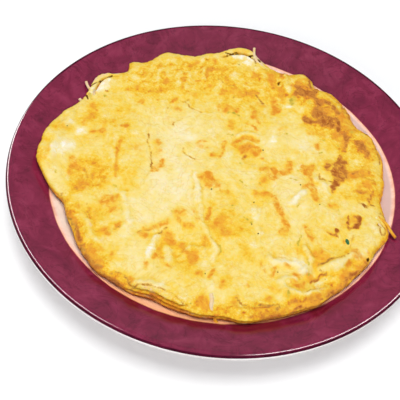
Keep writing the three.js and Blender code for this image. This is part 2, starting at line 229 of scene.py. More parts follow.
BLUSH = [  # thin turned edges, pinkish cream
    (0.7, 1.2, (-100.6, 63.6), (-97.4, 68), (-92.6, 74), (-87.4, 77), (-82.4, 78)),
    (0.8, 1.2, (-105, 65.5), (-102.3, 61.4), (-101.4, 58.2), (-104.5, 50.5)),
    (0.9, 1.4, (17, 119), (16.6, 112)), (0.9, 1.5, (17.5, 113), (21, 111.3), (23.3, 108), (22.5, 104)),
    (0.4, 2, (-46, -97), (-41, -96.3), (-35, -96.8)),
    (0.45, 1, (-40, -99.3), (-30, -101.3), (-25, -103.5), (-21, -106)),
    (0.5, 1.5, (-79, -57), (-77.5, -60)), (0.5, 2, (-69, -71)), (0.5, 2, (-35, -82)),
    (0.7, 3, (38, 101.5), (44, 100)), (0.5, 2, (34, 103)),
]
TOAST = [  # gold to orange, where the egg set against the pan
    (0.9, 1.8, (-94.1, 41.8)), (1, 1.3, (-91.4, 37.7)), (0.5, 2.5, (-94, 43), (-96.8, 22.3)),
    (0.6, 2, (-96.8, 24.1)), (0.5, 2, (-93.2, 31)), (0.9, 2, (-83.6, 18.2)),
    (0.7, 2.5, (-89.5, 16.4), (-87, 16.4)), (0.5, 3, (-82.7, 25.5)), (0.6, 1.5, (-78.2, 29.5)),
    (0.9, 1.7, (-71.4, 23.6), (-67.7, 23.6)), (0.9, 1.6, (-70, 12.3), (-71.4, 2.7)),
    (0.6, 2, (-68.6, 39.5)), (0.5, 3.5, (-113, 16.4), (-109, 16.4)), (0.4, 3.5, (-97.7, 6.8)),
    (0.7, 2.5, (-67.3, 66.5), (-67.3, 65)), (0.7, 1.8, (-73.6, 60.9)),
    (0.7, 1.2, (-64, 83.6), (-62.3, 76)), (0.9, 1.8, (-61.8, 51), (-61.8, 50)), (0.8, 1.2, (-50.5, 52.7)),
    (1, 2, (-46, 74.5), (-46, 72.7)), (0.5, 2.5, (-59, 63), (-52, 63)),
    (0.6, 1, (-52.3, 91.5), (-52.3, 90.5)), (0.7, 2, (-35.9, 47.8), (-35.9, 45.8)),
    (0.9, 1.2, (-37.7, 57.3), (-39.5, 52.7)), (0.6, 0.8, (-40.9, 37.7)), (0.7, 3, (-45, 12.7)),
    (0.5, 3, (-44, 7), (-44, 3)), (0.5, 4, (-59, 6.4), (-57, 6.4)),
    (0.7, 1.5, (-7.3, 55.5), (-6.4, 50.5)), (0.7, 1.2, (-18.2, 17.7), (-15, 17.7)),
    (0.7, 1.2, (-17.3, 12.7), (-11.4, 11.8)), (0.5, 2.5, (-24, 14.5), (-19, 14.5)),
    (0.9, 2.3, (-8.2, 6.4)), (0.6, 0.8, (-8.2, 23.6), (-5.9, 24.5)),
    (0.9, 1.3, (-26.4, 99.2), (-26.4, 97.2)), (0.8, 1.6, (-13.2, 104), (-13.2, 100.5)),
    (0.9, 1, (-17.7, 91), (-18.2, 84)), (0.7, 1.5, (-16.4, 91), (-7.3, 91.4)), (0.9, 1.6, (-14.5, 74)),
    (0.6, 1, (-23.6, 81.8)), (0.8, 1, (-26.8, 76.4), (-23.6, 78.2)),
    (0.7, 0.8, (-49.5, 82.7), (-48.2, 79)), (0.6, 1, (-4, 80.5), (0, 80.5)),
    (0.9, 1.6, (-5, 70), (-5.5, 66.4)), (0.6, 1, (3.2, 69)), (0.6, 1, (-7.3, 62.7)),
    (0.5, 3, (-27.5, 64), (-25, 64)), (0.6, 1.1, (-34.5, 84), (-34, 68)),
    (0.9, 1.4, (16.7, 94), (17.3, 88.6)), (0.6, 1.6, (17, 88), (15.5, 85)), (0.9, 2, (29, 93), (29, 87)),
    (0.9, 1.6, (29, 87), (31.5, 81.5)), (0.7, 1.6, (31, 70), (31, 63)),
    (0.6, 1.2, (30.5, 98), (31.5, 94)), (1, 1.6, (37, 91.8), (38.5, 91.8)),
    (0.7, 1.8, (35, 80), (36.5, 76)), (0.8, 1.5, (36.5, 77), (37, 72), (38, 68)),
    (0.7, 3, (0, 70), (8, 69.5)), (0.8, 1.5, (8.8, 68.5)), (0.8, 2.5, (15, 69), (18, 70)),
    (0.6, 2.5, (24, 60), (21, 62)), (0.6, 3.5, (2, 115), (8, 114.5)), (0.7, 2.5, (33, 66), (34, 58)),
    (0.6, 1.5, (44, 96), (46, 99)), (0.6, 1.5, (52, 93), (50, 88)), (0.8, 3, (-2, 54), (-1, 51)),
    (0.9, 2.5, (5, 52), (4.5, 50)), (0.8, 2.3, (18, 53), (18, 47)), (0.8, 1.5, (18.5, 46), (21, 42.8)),
    (0.8, 2, (32, 60), (33, 53)), (0.9, 1.8, (34.5, 58), (34.5, 56)),
    (0.8, 1.3, (14, 39.5), (17, 38.5), (19.3, 36), (20.7, 34)), (0.5, 1, (16, 31.5)),
    (0.7, 2, (2, 38.5), (2, 33.5)), (0.9, 1.9, (9.5, 22.5), (12.5, 24.5), (17, 24.8), (20.5, 23)),
    (0.9, 1.6, (4.5, 17.5), (5, 20.5), (7, 21)), (0.8, 1.6, (10, 16), (13, 17.5), (17, 19)),
    (0.9, 2.6, (11, 13), (14, 14), (20, 14)), (1, 2.2, (20, 16), (20.5, 12)), (0.7, 1.5, (25, 8.5)),
    (0.8, 1.3, (-0.5, 20), (-2, 15), (-2.3, 10), (-3, 6)), (0.6, 2, (48, 17.8)),
    (0.9, 2.8, (42.5, 6), (43, 2)), (1, 1.8, (53.5, 5), (54.5, 0)), (0.8, 1.8, (25, -1), (28, 0)),
    (1, 2, (32.5, -1), (34, -3)), (0.5, 2, (33, 3.5)), (0.5, 2, (36, 38), (39, 40)),
    (0.6, 2.5, (57, 92), (56, 86)), (0.7, 1.5, (49, 86), (48, 83)), (0.6, 3, (62, 72), (60, 75)),
    (0.7, 3, (70, 62), (74, 58)), (0.7, 3, (80, 55), (82, 62)), (0.8, 2, (72.5, 61)),
    (0.6, 5, (86, 50), (85, 56)), (0.5, 4, (76, 45), (77, 41)), (0.8, 2.5, (76, 40), (77, 37)),
    (0.7, 2, (80, 30), (80.5, 36)), (0.9, 1.8, (62.5, 27), (62.5, 24)), (0.6, 3, (59, 38), (58, 42)),
    (0.6, 2, (65.5, 41), (65.5, 36)), (0.6, 2.5, (96, 18), (96, 14)), (0.7, 2.5, (72, 13), (69, 11)),
    (0.9, 2, (58.5, 8), (57, 5)), (0.9, 2.2, (55, 4), (53.5, 1)), (0.9, 2, (86, 2), (88, 3.5)),
    (0.7, 2.5, (92, 8), (96, 8)), (0.7, 2, (97, 1), (96, -4)), (0.6, 4, (82, 0), (90, 5)),
    (0.8, 1.4, (99.5, 37)), (0.6, 5, (95, 32), (99, 40)), (0.6, 2.5, (100, 28), (98, 23)),
    (0.5, 6, (93, -8), (96, -12)), (0.9, 2, (-99.5, -8.5), (-97, -14)), (1, 1.5, (-96.3, -11)),
    (1, 1.7, (-98, -17), (-98, -22)), (0.5, 5, (-92, -16), (-88, -26)),
    (1, 2.2, (-88, -30), (-86.5, -30)), (0.4, 6, (-80, -15), (-78, -24)),
    (0.8, 3, (-73, -42), (-68, -40)), (0.8, 2.2, (-67, -47)), (0.8, 1.1, (-71, 0), (-69, -20)),
    (0.7, 1.8, (-88, -46)), (0.5, 4, (-80, -48), (-76, -52)), (0.6, 2, (-72, -37), (-66, -35)),
    (0.5, 3.5, (-116, -4), (-117, -12)), (0.9, 1.6, (-46.5, -11), (-44, -11)),
    (1, 1.8, (-40.5, -3.5), (-40.5, -7.5)), (0.5, 2.5, (-45, -8)), (1, 2.5, (-13, -15), (-10, -11)),
    (1, 2.5, (-9, -13), (-8.5, -18)), (0.6, 3, (-9, -20)), (1, 1.2, (-7.5, -38), (-8, -47)),
    (0.8, 3, (-26, -44), (-24, -44)), (0.9, 1.6, (-25, -50)), (0.8, 2.3, (-20, -53), (-17.5, -53)),
    (0.7, 1.5, (-17, -41), (-14.5, -44), (-13, -48)),
    (0.8, 1.6, (-45, -58.5), (-38, -55.5), (-32, -52.5)), (0.8, 2.2, (-31.5, -59.5), (-29, -60)),
    (0.8, 1.5, (-62, -58)), (0.7, 2, (-64, -46)), (0.35, 6, (-59, -16), (-59, -24)),
    (0.9, 2.2, (-3.5, -16), (-3, -20)), (0.7, 1.5, (0, -24), (4, -23)), (0.6, 2, (5, -26), (7, -32)),
    (0.8, 1.6, (-3, -49.5)), (0.5, 6, (4, -45), (6, -50)), (0.6, 3, (-1, -54), (4, -56)),
    (0.7, 2.5, (-5, -52), (0, -47)), (0.8, 2.2, (28, -5), (28, -10)), (0.7, 1.6, (27, -11), (24, -14)),
    (0.9, 2, (33, -8), (36, -4.5), (42, -1)), (1, 1.1, (20.3, -20), (20.8, -24)),
    (0.9, 2.1, (22, -23), (27, -22.3), (32, -24.5), (36, -31), (39, -40), (41, -45), (39, -51)),
    (0.8, 2, (53.5, -44), (55, -48)), (0.7, 1.6, (57, 0), (57, -9)), (0.9, 2.2, (57, -12), (53, -12)),
    (1, 2, (59, -14), (59, -19), (61, -22)), (0.7, 2, (73, -24), (70, -25.3)),
    (0.8, 2.5, (84, -34), (84, -38)), (0.6, 2.5, (77, -35), (77.5, -39)),
    (0.9, 2.2, (56, -50), (58, -52)), (0.9, 1.5, (77, -51.5)), (0.8, 2.4, (83, -59), (84, -63)),
    (0.6, 2, (69, -46.5)), (0.5, 3, (93, -38)), (1, 1.8, (-90.5, -54.5), (-88, -58)),
    (1, 1.2, (-83.5, -69), (-82.3, -72)), (0.9, 2.4, (-69, -63), (-67, -65)),
    (0.8, 1.3, (-61, -57), (-61.5, -60)), (0.7, 2.5, (-74, -76), (-69, -77)),
    (0.7, 3.5, (-73, -82), (-68, -86)), (0.7, 1.3, (-62, -78), (-61.5, -82)),
    (0.9, 2, (-46, -63.5), (-44, -64)), (0.8, 1.5, (-35, -72), (-37, -78)),
    (0.7, 1.2, (-41, -82), (-41, -86)), (0.8, 2, (-49, -95), (-48, -97.5)),
    (0.8, 3, (-32, -61), (-30, -64)), (0.9, 1.8, (-29, -65), (-26, -67.5)),
    (1, 1.2, (-34.5, -73), (-34, -77)), (0.8, 1.5, (-33, -79), (-31, -83), (-27, -84)),
    (1, 2.2, (-14, -78), (-12.5, -77)), (0.8, 1.8, (-12, -72), (-16, -74), (-20, -71.5), (-21, -67.5)),
    (0.7, 1, (-26, -74), (-24, -76)), (0.7, 2, (-8.5, -61), (-8, -66)), (0.9, 1.7, (-11, -86), (-9, -86)),
    (0.9, 1.1, (-1, -83), (-3, -88)), (0.8, 1.6, (4, -90), (4, -93)), (0.4, 5, (10, -83), (12, -86)),
    (0.9, 3, (-6, -103.5), (-5, -106)), (0.7, 2, (12, -100), (12, -104)),
    (0.8, 2, (32, -97.5), (31, -99)), (1, 1.5, (34, -77.5), (32.3, -82)),
    (1, 2, (49, -86.5), (51.5, -86)), (0.8, 1.6, (44.5, -85), (50, -88.5)),
    (0.7, 1.6, (46, -80.5), (49, -80.5)), (0.5, 2, (32, -91), (41, -92.5)), (0.8, 1.5, (19, -91)),
    (0.4, 3, (17, -66), (17, -70)), (0.5, 1.6, (35, -67.5), (42, -66)),
    (0.7, 1.4, (41, -75), (43.5, -76)), (0.8, 2, (55, -79), (55.5, -82)),
    (0.6, 0.8, (48, -60), (48.5, -68)), (0.8, 2, (56, -96), (60, -95)), (0.7, 3, (62, -62), (66, -66)),
    (0.6, 3.5, (58, -66), (61, -70)), (1, 1.2, (80, -67.5), (78.5, -70.5)),
    (0.7, 2, (77, -74), (75, -78)), (0.7, 2, (89, -66)), (0.6, 1.4, (26, -74), (28, -80)),
    (0.6, 2.2, (26, -107), (40, -104), (56, -98), (70, -87), (82, -73), (92, -59)),
]
RIDGES = [  # raised folds: height, half width, then the middle line
    (0.5, 1.8, (-12.5, -38), (-11, -50), (-5, -61), (-1, -69), (-1.5, -76)),
    (0.55, 1.8, (44, -28), (49, -21.5), (53, -17)),
    (1.1, 2, (53, -60), (56.5, -68), (55, -74), (50, -79)),
    (0.9, 2.5, (31, -71), (38, -74.5), (47, -72.5), (52, -77)),
    (1.2, 2.6, (46, -83), (39, -86), (41, -92), (50, -95), (59, -92), (66, -87)),
    (1.4, 3.2, (63, -74), (71, -71), (77, -66), (82, -62)), (1.0, 2, (86, -72), (92, -62), (97, -53)),
    (0.9, 2, (60, -84), (66, -80.5), (71, -81)), (0.4, 2.2, (-62, -33), (-59.5, -44), (-55, -54)),
    (0.5, 2.4, (-41, -78), (-38.5, -69), (-37, -63)), (0.35, 2, (-17.5, -12), (-16.5, -24), (-14.5, -34)),
    (0.2, 2, (-37.7, 86), (-37.7, 73)), (0.2, 2, (-31, 86), (-31, 69)),
    (0.2, 2, (-52.7, 87), (-52.7, 67)), (0.7, 2, (-20, 92), (-20, 80)),
    (0.8, 2.4, (-45, -97), (-37, -96.5), (-28, -99)),
    (0.9, 2.2, (12, -107), (22, -108), (31, -105.5), (41, -103)),
    (0.7, 2.6, (-106, 30), (-112, 8), (-112, -12)), (0.4, 2.2, (-74, 22), (-74, 2), (-72, -18)),
    (0.8, 2, (-80, -57), (-78, -66), (-72, -71)), (0.7, 2, (41, 100), (41, 86), (42, 76)),
    (0.7, 2.4, (24, 96), (24, 80)), (0.7, 2, (10, 17), (15, 21), (19, 20)),
    (0.7, 2, (8, 27), (14, 29), (19.5, 29)), (0.8, 2, (-20, -77), (-17, -69), (-9, -70)),
    (0.3, 1.8, (24, -36), (22, -46), (26, -54)), (0.7, 2, (86, -4), (91, 1), (97, 0)),
    (0.6, 2, (60, -4), (66, -8), (68, -16)), (0.7, 2.2, (-30, -70), (-29, -80)),
]
BROWN = [  # fried brown
    (0.5, 0.9, (10, -113), (20, -112), (30, -109), (40, -107), (48, -104), (56, -100.5), (62, -96),
     (70, -89)), (0.5, 0.9, (70, -89), (78, -80), (84, -73), (90, -66), (95, -59), (99, -52), (103, -45)),
    (0.35, 0.9, (60, -96), (66, -91), (72, -86), (76, -81), (80, -76), (84, -73)),
    (0.7, 1.2, (-88, -60), (-84, -67), (-81, -73), (-77, -80), (-72, -87), (-66, -92), (-58, -97),
     (-50, -102)), (0.8, 1, (-86.8, 57.7)), (0.8, 0.8, (2.3, 64.5)), (0.7, 0.8, (-40.9, 51.8)),
    (0.6, 0.8, (-56.4, 61.8)), (0.6, 1.5, (38, 99), (38, 94)), (0.9, 2.5, (49, 78), (53, 77)),
    (0.8, 1.2, (48, 83), (52, 80), (56, 80)), (0.9, 1.6, (57, 79), (57.5, 76)),
    (0.95, 2, (62, 83), (61, 80), (60, 76)), (0.8, 0.9, (59, 96), (58, 90), (58.5, 84)),
    (0.8, 1.8, (64, 73), (69, 72), (74, 68), (78, 62)), (0.8, 2.2, (64, 70), (63, 62), (61, 56)),
    (0.85, 3, (67, 57), (67, 53)), (0.6, 2, (66, 63)), (0.95, 2.3, (54.5, 51), (57, 49.3)),
    (0.8, 0.9, (59, 49.5), (66, 49.5)), (0.85, 1.5, (66.5, 51), (66.5, 46.5)),
    (0.9, 2.2, (73, 53), (71.5, 48)), (0.9, 1.3, (76.5, 55), (78.3, 50), (77.5, 45)),
    (1, 1, (77.5, 47), (76.8, 43)), (0.7, 1.3, (82, 69), (82, 64)), (0.7, 1, (85, 65), (86, 58.5)),
    (0.95, 1.2, (82.3, 41.5), (82.7, 37.5)), (0.7, 1.5, (83.5, 36), (82, 31), (81.3, 26)),
    (0.7, 1, (85.5, 39)), (0.7, 2.2, (92, 34), (93, 30)), (0.8, 0.9, (90, 36), (90, 31)),
    (0.7, 1.4, (95.5, 34), (95, 29)), (0.8, 1.1, (98, 27), (96.5, 22)), (0.7, 1, (92, 27)),
    (0.95, 1.2, (78.5, 20), (77.5, 16.5)), (0.9, 1.4, (79.5, 14), (81.5, 13.5)),
    (0.85, 2.5, (76, 12), (78, 8), (79, 4)), (0.9, 1, (74.8, 9), (74.6, 4)),
    (0.8, 2.2, (70, 10), (68.5, 7)), (0.5, 1.6, (69, 4)), (0.85, 2.1, (74, 3), (74.5, 0), (74, -4)),
    (0.85, 1.7, (73.5, -4), (72.5, -9)), (0.8, 1, (72, -9), (71.8, -13)), (0.7, 1.5, (78, -2), (80, 0)),
    (0.7, 1.2, (86, 4), (89, 6.5)), (0.7, 0.9, (97, 8)), (0.5, 1, (99, 2), (100, -2)),
    (0.7, 1.3, (81, -16.3)), (0.6, 1.1, (86, -10), (90, -11), (93, -9)), (0.7, 0.8, (94, -16), (94, -19)),
    (0.6, 1, (96, -15), (97.5, -9)), (0.85, 0.7, (80.8, -31), (80.6, -37), (80.9, -43)),
    (0.8, 1, (85, -31.5), (88, -31.3)), (0.95, 1.2, (88, -32), (86.5, -38), (84.5, -41)),
    (0.8, 0.8, (82.5, -41), (85, -41)), (0.8, 1, (73.7, -44.5), (72.5, -48)),
    (0.7, 0.7, (67, -47), (72, -49)), (1, 1, (73.7, -43.3)), (0.6, 0.9, (-59.5, -30.5)),
    (0.5, 1.2, (-33, -67.5)), (0.6, 1.2, (-93.5, -10.5)), (0.5, 1, (-93, -20)),
    (0.6, 0.8, (-82, -50), (-80, -52)), (0.6, 0.8, (-79, -54)), (0.6, 0.8, (-75, -58)),
    (0.6, 1, (31, -1)), (0.5, 1, (35.5, -32)), (0.8, 1.3, (13.8, 9.5), (12.8, 7)),
    (0.6, 1.2, (16.5, 18.5)), (0.9, 1.6, (-62, -95.5), (-56, -98.5), (-51, -101)),
    (0.7, 0.9, (-70, -88), (-66, -89)),
    (1, 0.9, (56.5, -84), (58, -81.5), (61, -79), (64, -77.5), (66, -77.5)),
    (0.6, 1, (44, -99.5), (48, -98.5)), (0.8, 0.7, (48, -103), (49, -101.5)), (0.7, 0.8, (51, -101)),
    (0.5, 1, (56, -97), (59, -95)), (0.7, 0.8, (80.5, -74), (83, -74)), (0.5, 1, (80, -76), (76, -80)),
    (0.6, 1, (24, -101.5)), (0.8, 0.8, (32, -97.5)), (0.6, 1, (11.5, -100.5)), (0.6, 0.9, (60.5, -98)),
]
OLIVE = [  # greenish yellow spots, where the surface also sinks a little
    (0.8, 1.2, (-99.5, 54), (-97.7, 50)), (0.7, 1, (-96.4, 48.2)), (0.7, 1.6, (-87.3, 53.2)),
    (0.5, 1.4, (-79, 44.5), (-77, 44.5)), (0.6, 1, (-72.7, 48.2)), (0.6, 0.8, (-85.5, 12.3)),
    (0.5, 1.2, (-47.3, 36.4)), (0.4, 1.4, (-59, 73.2), (-58, 73.2)), (0.5, 0.8, (-53.6, 66.4)),
    (0.6, 0.8, (-28.2, 88.2)), (0.4, 1, (-35.9, 3.2)), (0.5, 0.8, (-46.4, 30.5), (-49.5, 29)),
    (0.7, 0.9, (-62.7, 76.8)), (0.4, 0.9, (-37.3, 68.2)), (0.6, 0.8, (4.6, 100.5), (4.6, 99.5)),
    (0.5, 1, (5.5, 96.5), (7, 96.3)), (0.5, 0.8, (6.8, 92)), (0.8, 0.8, (17, 101.5)),
    (0.8, 2.4, (46, 72), (44.5, 66)), (0.7, 1.7, (57.5, 69), (57, 67)), (0.8, 1.1, (0, 48.5), (3.5, 48)),
    (0.7, 0.9, (3.6, 47), (8, 46.3)), (0.7, 1, (1, 27.5), (3, 27.5)), (0.8, 1.1, (41.2, 34)),
    (0.5, 1.5, (42, 52)), (0.4, 1.3, (38.5, 43.5)), (0.6, 0.8, (22, 19)), (0.6, 1, (50, 1)),
    (0.6, 1, (11.5, 3), (12, 0)), (0.5, 1.6, (2.5, 65)), (0.8, 0.9, (65.8, 31.5), (67.5, 33)),
    (0.8, 0.9, (63.5, 20.3), (66, 21.3)), (0.5, 2.5, (88, 45), (87, 48)), (0.5, 2, (76.5, 29)),
    (0.6, 0.7, (-107.3, -22.5), (-106.7, -24)), (0.5, 0.7, (-97, -27.5), (-96.7, -29)),
    (0.5, 1.2, (-98, -37)), (0.5, 0.8, (-75.6, -22)), (0.7, 0.9, (-68, -26.7), (-67, -27.6)),
    (0.6, 0.8, (-90.7, -33.8)), (0.5, 1, (-56.5, -29.5)), (0.6, 1.2, (-61.5, -44.5), (-60.8, -46)),
    (0.5, 0.9, (-38.5, -44)), (0.5, 1, (-30, -44.5)), (0.6, 0.7, (-20, -46)),
    (0.6, 0.8, (-11.5, -51), (-11, -54)), (0.5, 0.9, (-7.5, -50.5)), (0.5, 1, (-12, -40)),
    (0.6, 0.9, (0, -24)), (0.8, 1.1, (7.5, -34)), (0.5, 0.8, (-2, -35), (-2, -38)),
    (0.9, 0.9, (11, -12.7), (12.3, -14)), (0.6, 0.8, (14, -16), (15.5, -17)), (0.5, 1.2, (18, -10)),
    (0.5, 0.8, (14, -6.5)), (0.6, 1, (24.5, -4)), (0.6, 1.1, (24, -13.5)), (0.6, 0.7, (37.5, -26)),
    (0.7, 0.7, (15.5, -41), (17.5, -44.5)), (0.5, 0.8, (17.5, -39.5)),
    (0.9, 0.8, (19.6, -46), (19.9, -48)), (0.6, 0.8, (43, -7), (50, -6.5)), (0.6, 0.8, (51, -14)),
    (0.7, 0.7, (47, -29), (52, -22)), (0.8, 0.7, (49.8, -51), (48.7, -58)), (0.4, 1.5, (31, -38)),
    (0.5, 1, (44.5, -58)), (0.6, 1, (74.5, -27), (75, -30)), (0.5, 1.2, (-78, -69)), (0.5, 1, (-62, -56)),
    (0.5, 0.7, (-41.5, -78.7), (-39, -80)), (0.5, 0.7, (-35, -82)), (0.6, 0.9, (-35, -84.5)),
    (0.5, 1.2, (-27, -96.5)), (0.6, 0.7, (-16, -101.5)), (0.7, 0.7, (-12.5, -106.5)),
    (0.6, 0.7, (-1.7, -104)), (0.9, 0.9, (0.8, -66), (1.8, -70)), (0.8, 0.7, (36.5, -79.7)),
    (0.7, 1, (43, -94), (42.3, -96)), (0.7, 0.8, (50, -82)), (0.6, 0.7, (43, -84)),
    (0.7, 0.8, (53, -91), (57, -89.5)), (0.8, 0.8, (61.5, -87)), (0.8, 0.8, (63, -80), (65, -80.5)),
    (0.6, 0.7, (53.7, -67), (54.7, -73)), (0.7, 0.8, (54, -76), (54.5, -79)), (0.7, 0.8, (14.5, -101.5)),
    (0.6, 0.7, (16.5, -103.5)), (0.5, 1, (29, -101)), (0.6, 1, (23, -104.5)), (0.6, 0.9, (84.5, -69)),
    (0.7, 0.7, (66, -77.5), (70, -79)), (0.5, 1.2, (15.5, -77)),
]
CREASE = [  # painted shade down the folds: darker ochre to brown lines, where the surface also sinks a little
    (0.7, 0.8, (70, 84), (80, 73), (88, 63), (93, 54.5), (98, 48), (103, 40), (105, 30), (106, 18)),
    (0.7, 0.8, (-52.3, 19), (-52.5, 14.5), (-51.4, 10.5), (-49.3, 5.9), (-48, 2.7), (-48, -4),
     (-47.3, -7)), (1, 0.9, (-47.4, -6.5), (-47, -9.5)), (0.4, 0.8, (-48.5, -12), (-50.5, -25)),
    (0.5, 0.8, (-58.2, 43.2), (-57.3, 40.5)), (0.5, 0.8, (-42.3, 47.7), (-43.4, 42.7)),
    (0.6, 0.8, (-32.5, 54.5), (-29.5, 52.3), (-25.9, 49.5), (-21.4, 46.4), (-19.1, 45.5)),
    (0.5, 1, (-32.5, 54.5), (-29.5, 57.3)),
    (0.5, 0.8, (-31.4, 39), (-33.6, 35.9), (-36.1, 34.1), (-37, 30.5)),
    (0.6, 0.8, (-28.2, 10), (-27.3, 6.4), (-24.1, 3.6), (-19.5, 0.9)),
    (0.4, 0.8, (-27.3, 6), (-31.4, 2.7)), (0.5, 0.8, (-61.4, 32.3), (-56.8, 30), (-51.8, 29.5)),
    (0.6, 0.8, (-11.4, 1.4)), (0.6, 0.8, (-9, 81.8), (-6, 79.5), (-1.4, 76.8), (3.6, 75.9)),
    (0.9, 1, (19, 69.5), (21.5, 67.5), (24.5, 63)), (0.7, 0.8, (62.5, 1), (64, -2.5), (70, -4)),
    (0.9, 0.9, (89, -19.5), (92, -22), (95, -20.5), (99, -19.5)),
    (0.6, 0.8, (-97, -23), (-95, -27), (-92, -32), (-90, -34)),
    (0.7, 0.8, (-90, -15), (-88.3, -20), (-87.6, -22.5)),
    (0.5, 0.8, (-86, -16), (-83.5, -22), (-83, -26)),
    (0.6, 0.8, (-83.5, -43), (-81.5, -47.5), (-79, -52), (-76, -56)),
    (0.5, 0.8, (-86, -45), (-84, -49), (-81, -54)),
    (0.7, 0.8, (-100, -37), (-98, -43), (-95.5, -49), (-92, -55), (-88, -61)),
    (0.4, 0.8, (-20.2, -10), (-19.5, -17), (-18.5, -25)),
    (0.4, 0.8, (-15.3, -19), (-13.5, -25), (-12, -30)), (0.5, 0.8, (-36, -60), (-32, -56)),
    (0.6, 0.8, (-77, -57), (-75, -60), (-74.5, -64)), (0.6, 0.8, (-66, -62), (-62, -61.5), (-60.5, -59)),
    (0.8, 0.8, (-80, -76), (-77.5, -78)), (0.8, 0.8, (-60.3, -91.3), (-59, -92)),
    (0.6, 0.8, (-57, -91), (-53, -92), (-50, -94.5), (-48.5, -97)),
    (0.5, 0.8, (-49, -63), (-46, -60), (-42, -57.5)), (0.6, 0.8, (-39.5, -62), (-37, -60), (-35, -58.5)),
    (0.6, 0.8, (-73, -83), (-70, -87), (-66, -89)),
    (0.7, 0.8, (-49, -98.5), (-46, -99.5), (-43, -98), (-36, -98), (-32, -98.5), (-27, -101),
     (-23, -102), (-20, -104), (-17, -107)), (0.4, 0.8, (-12, -94), (-16, -96.5), (-20, -97.5)),
    (0.6, 0.8, (-4, -89.5), (-1, -89)), (0.5, 0.8, (-4, -61), (-1, -65), (1.5, -69), (1, -72)),
    (0.7, 0.8, (12, -100), (17, -103), (19, -103.5)),
    (0.7, 0.8, (26, -103), (32, -102.7), (36, -102), (38, -100.8), (38.5, -103.5), (36, -105)),
    (0.6, 0.8, (53, -91), (57, -89.5), (60, -88)),
    (0.9, 0.9, (61, -70.5), (64, -71), (66, -69), (68, -67), (72, -65), (76, -63), (79, -61)),
    (0.6, 0.8, (62, -75), (66, -76.5), (70, -78.5)), (0.6, 0.8, (82.5, -47), (81.5, -51), (81.3, -57)),
    (0.6, 0.8, (103, -24), (102.5, -26.5)), (0.8, 0.8, (102.5, -26), (105, -27), (107, -30), (108, -36)),
    (0.8, 0.8, (100.5, -32), (102, -35), (104, -39), (103.5, -42)),
    (0.7, 0.8, (99.5, -36), (101, -40), (102, -43)), (0.5, 0.8, (33, -70), (41, -69)),
]
DARK = [  # painted shade: near black brown down the gaps under leaves and in pinholes, where the surface also sinks
    (0.9, 0.8, (-102, 53.2), (-99.1, 48.2)), (0.6, 0.6, (-102, 52), (-99.8, 53.2)),
    (0.9, 0.5, (-99.9, 60.4), (-97, 64), (-92.9, 68.6), (-89.8, 71.8), (-86.4, 74.7)),
    (1, 0.9, (-5.5, 112.6), (-1, 112.6), (5.2, 113.6), (10.3, 113.6), (14.2, 113)),
    (0.9, 0.7, (14.3, 113.8)), (0.8, 0.7, (-5, 110.2)), (0.6, 0.7, (-19.5, 104.5), (-19, 102.7)),
    (0.9, 1.7, (18.5, 108.5), (20.5, 109.5)), (0.7, 0.9, (17.5, 105)), (1, 0.9, (35.6, 87), (35.2, 84.5)),
    (0.8, 0.6, (70, 50), (70, 48.5)), (1, 0.8, (91.6, -62.6), (91, -63.5)), (0.8, 0.7, (99.7, -35)),
    (1, 0.8, (97, 50.5), (98.5, 46.5)),
]
# Each paint: strokes, how far they are broken up, their spread over their half width, how much they
# raise the surface, and how much further done they make it
COATS = {
    "pale": (PALE, 0.5, 1.2, 0.3, -0.14), "toast": (TOAST, 0.5, 1.35, 0.2, 0.22),
    "brown": (BROWN, 0.4, 1.55, 0.15, 0.3), "olive": (OLIVE, 0.6, 1.2, -0.25, 0),
    "blush": (BLUSH, 0.5, 1.2, 0, 0), "crease": (CREASE, 0.7, 1.2, -0.45, 0),
    "dark": (DARK, 0, 1.2, -1.5, 0),
}

# ---- shared helpers -----------------------------------------------------------------------------


def linear(code):
    """An sRGB hex value as the linear colour that a shader takes."""
    parts = [int(code[i:i + 2], 16) / 255 for i in (1, 3, 5)]
    return [p / 12.92 if p <= 0.04045 else ((p + 0.055) / 1.055) ** 2.4 for p in parts] + [1.0]


def mix(a, b, t):
    return a + (b - a) * t


def smooth(t):
    s = np.clip(t, 0, 1)
    return s * s * (3 - 2 * s)


def bell(distance, half):
    return np.exp(-(distance / half) ** 2)


def turn_from(start, end):
    return (end - start + 540) % 360 - 180


def deselect():
    if bpy.context.object and bpy.context.object.mode != "OBJECT":
        bpy.ops.object.mode_set(mode="OBJECT")
    bpy.ops.object.select_all(action="DESELECT")


def join(pieces):
    """Joins pieces into the first of them."""
    deselect()
    for piece in pieces:
        piece.select_set(True)
    bpy.context.view_layer.objects.active = pieces[0]
    bpy.ops.object.join()
    return bpy.context.object


def draw_line(name, points):
    """A piece that is one line of vertices in the XZ plane, through (radius, height) points."""
    deselect()
    bpy.ops.mesh.primitive_plane_add(size=MM, location=(0, 0, 0))
    piece = bpy.context.object
    piece.name = name
    bpy.ops.object.mode_set(mode="EDIT")
    bpy.ops.mesh.select_all(action="SELECT")
    bpy.ops.mesh.merge(type="CENTER")
    radius, height = points[0]
    bpy.ops.transform.translate(value=(radius * MM, 0, height * MM))
    for (radius, height), (next_radius, next_height) in zip(points, points[1:]):
        step = ((next_radius - radius) * MM, 0, (next_height - height) * MM)
        bpy.ops.mesh.extrude_vertices_move(TRANSFORM_OT_translate={"value": step})
    bpy.ops.object.mode_set(mode="OBJECT")
    return piece


def turn_round(piece, steps):
    """Spins a line about Z into a closed skin."""
    bpy.ops.object.mode_set(mode="EDIT")
    bpy.ops.mesh.select_all(action="SELECT")
    bpy.ops.mesh.spin(steps=steps, angle=math.tau, center=(0, 0, 0), axis=(0, 0, 1))
    bpy.ops.mesh.select_all(action="SELECT")
    bpy.ops.mesh.remove_doubles(threshold=0.01 * MM)
    bpy.ops.mesh.normals_make_consistent(inside=False)
    bpy.ops.object.mode_set(mode="OBJECT")
    bpy.ops.object.shade_smooth()
    return piece


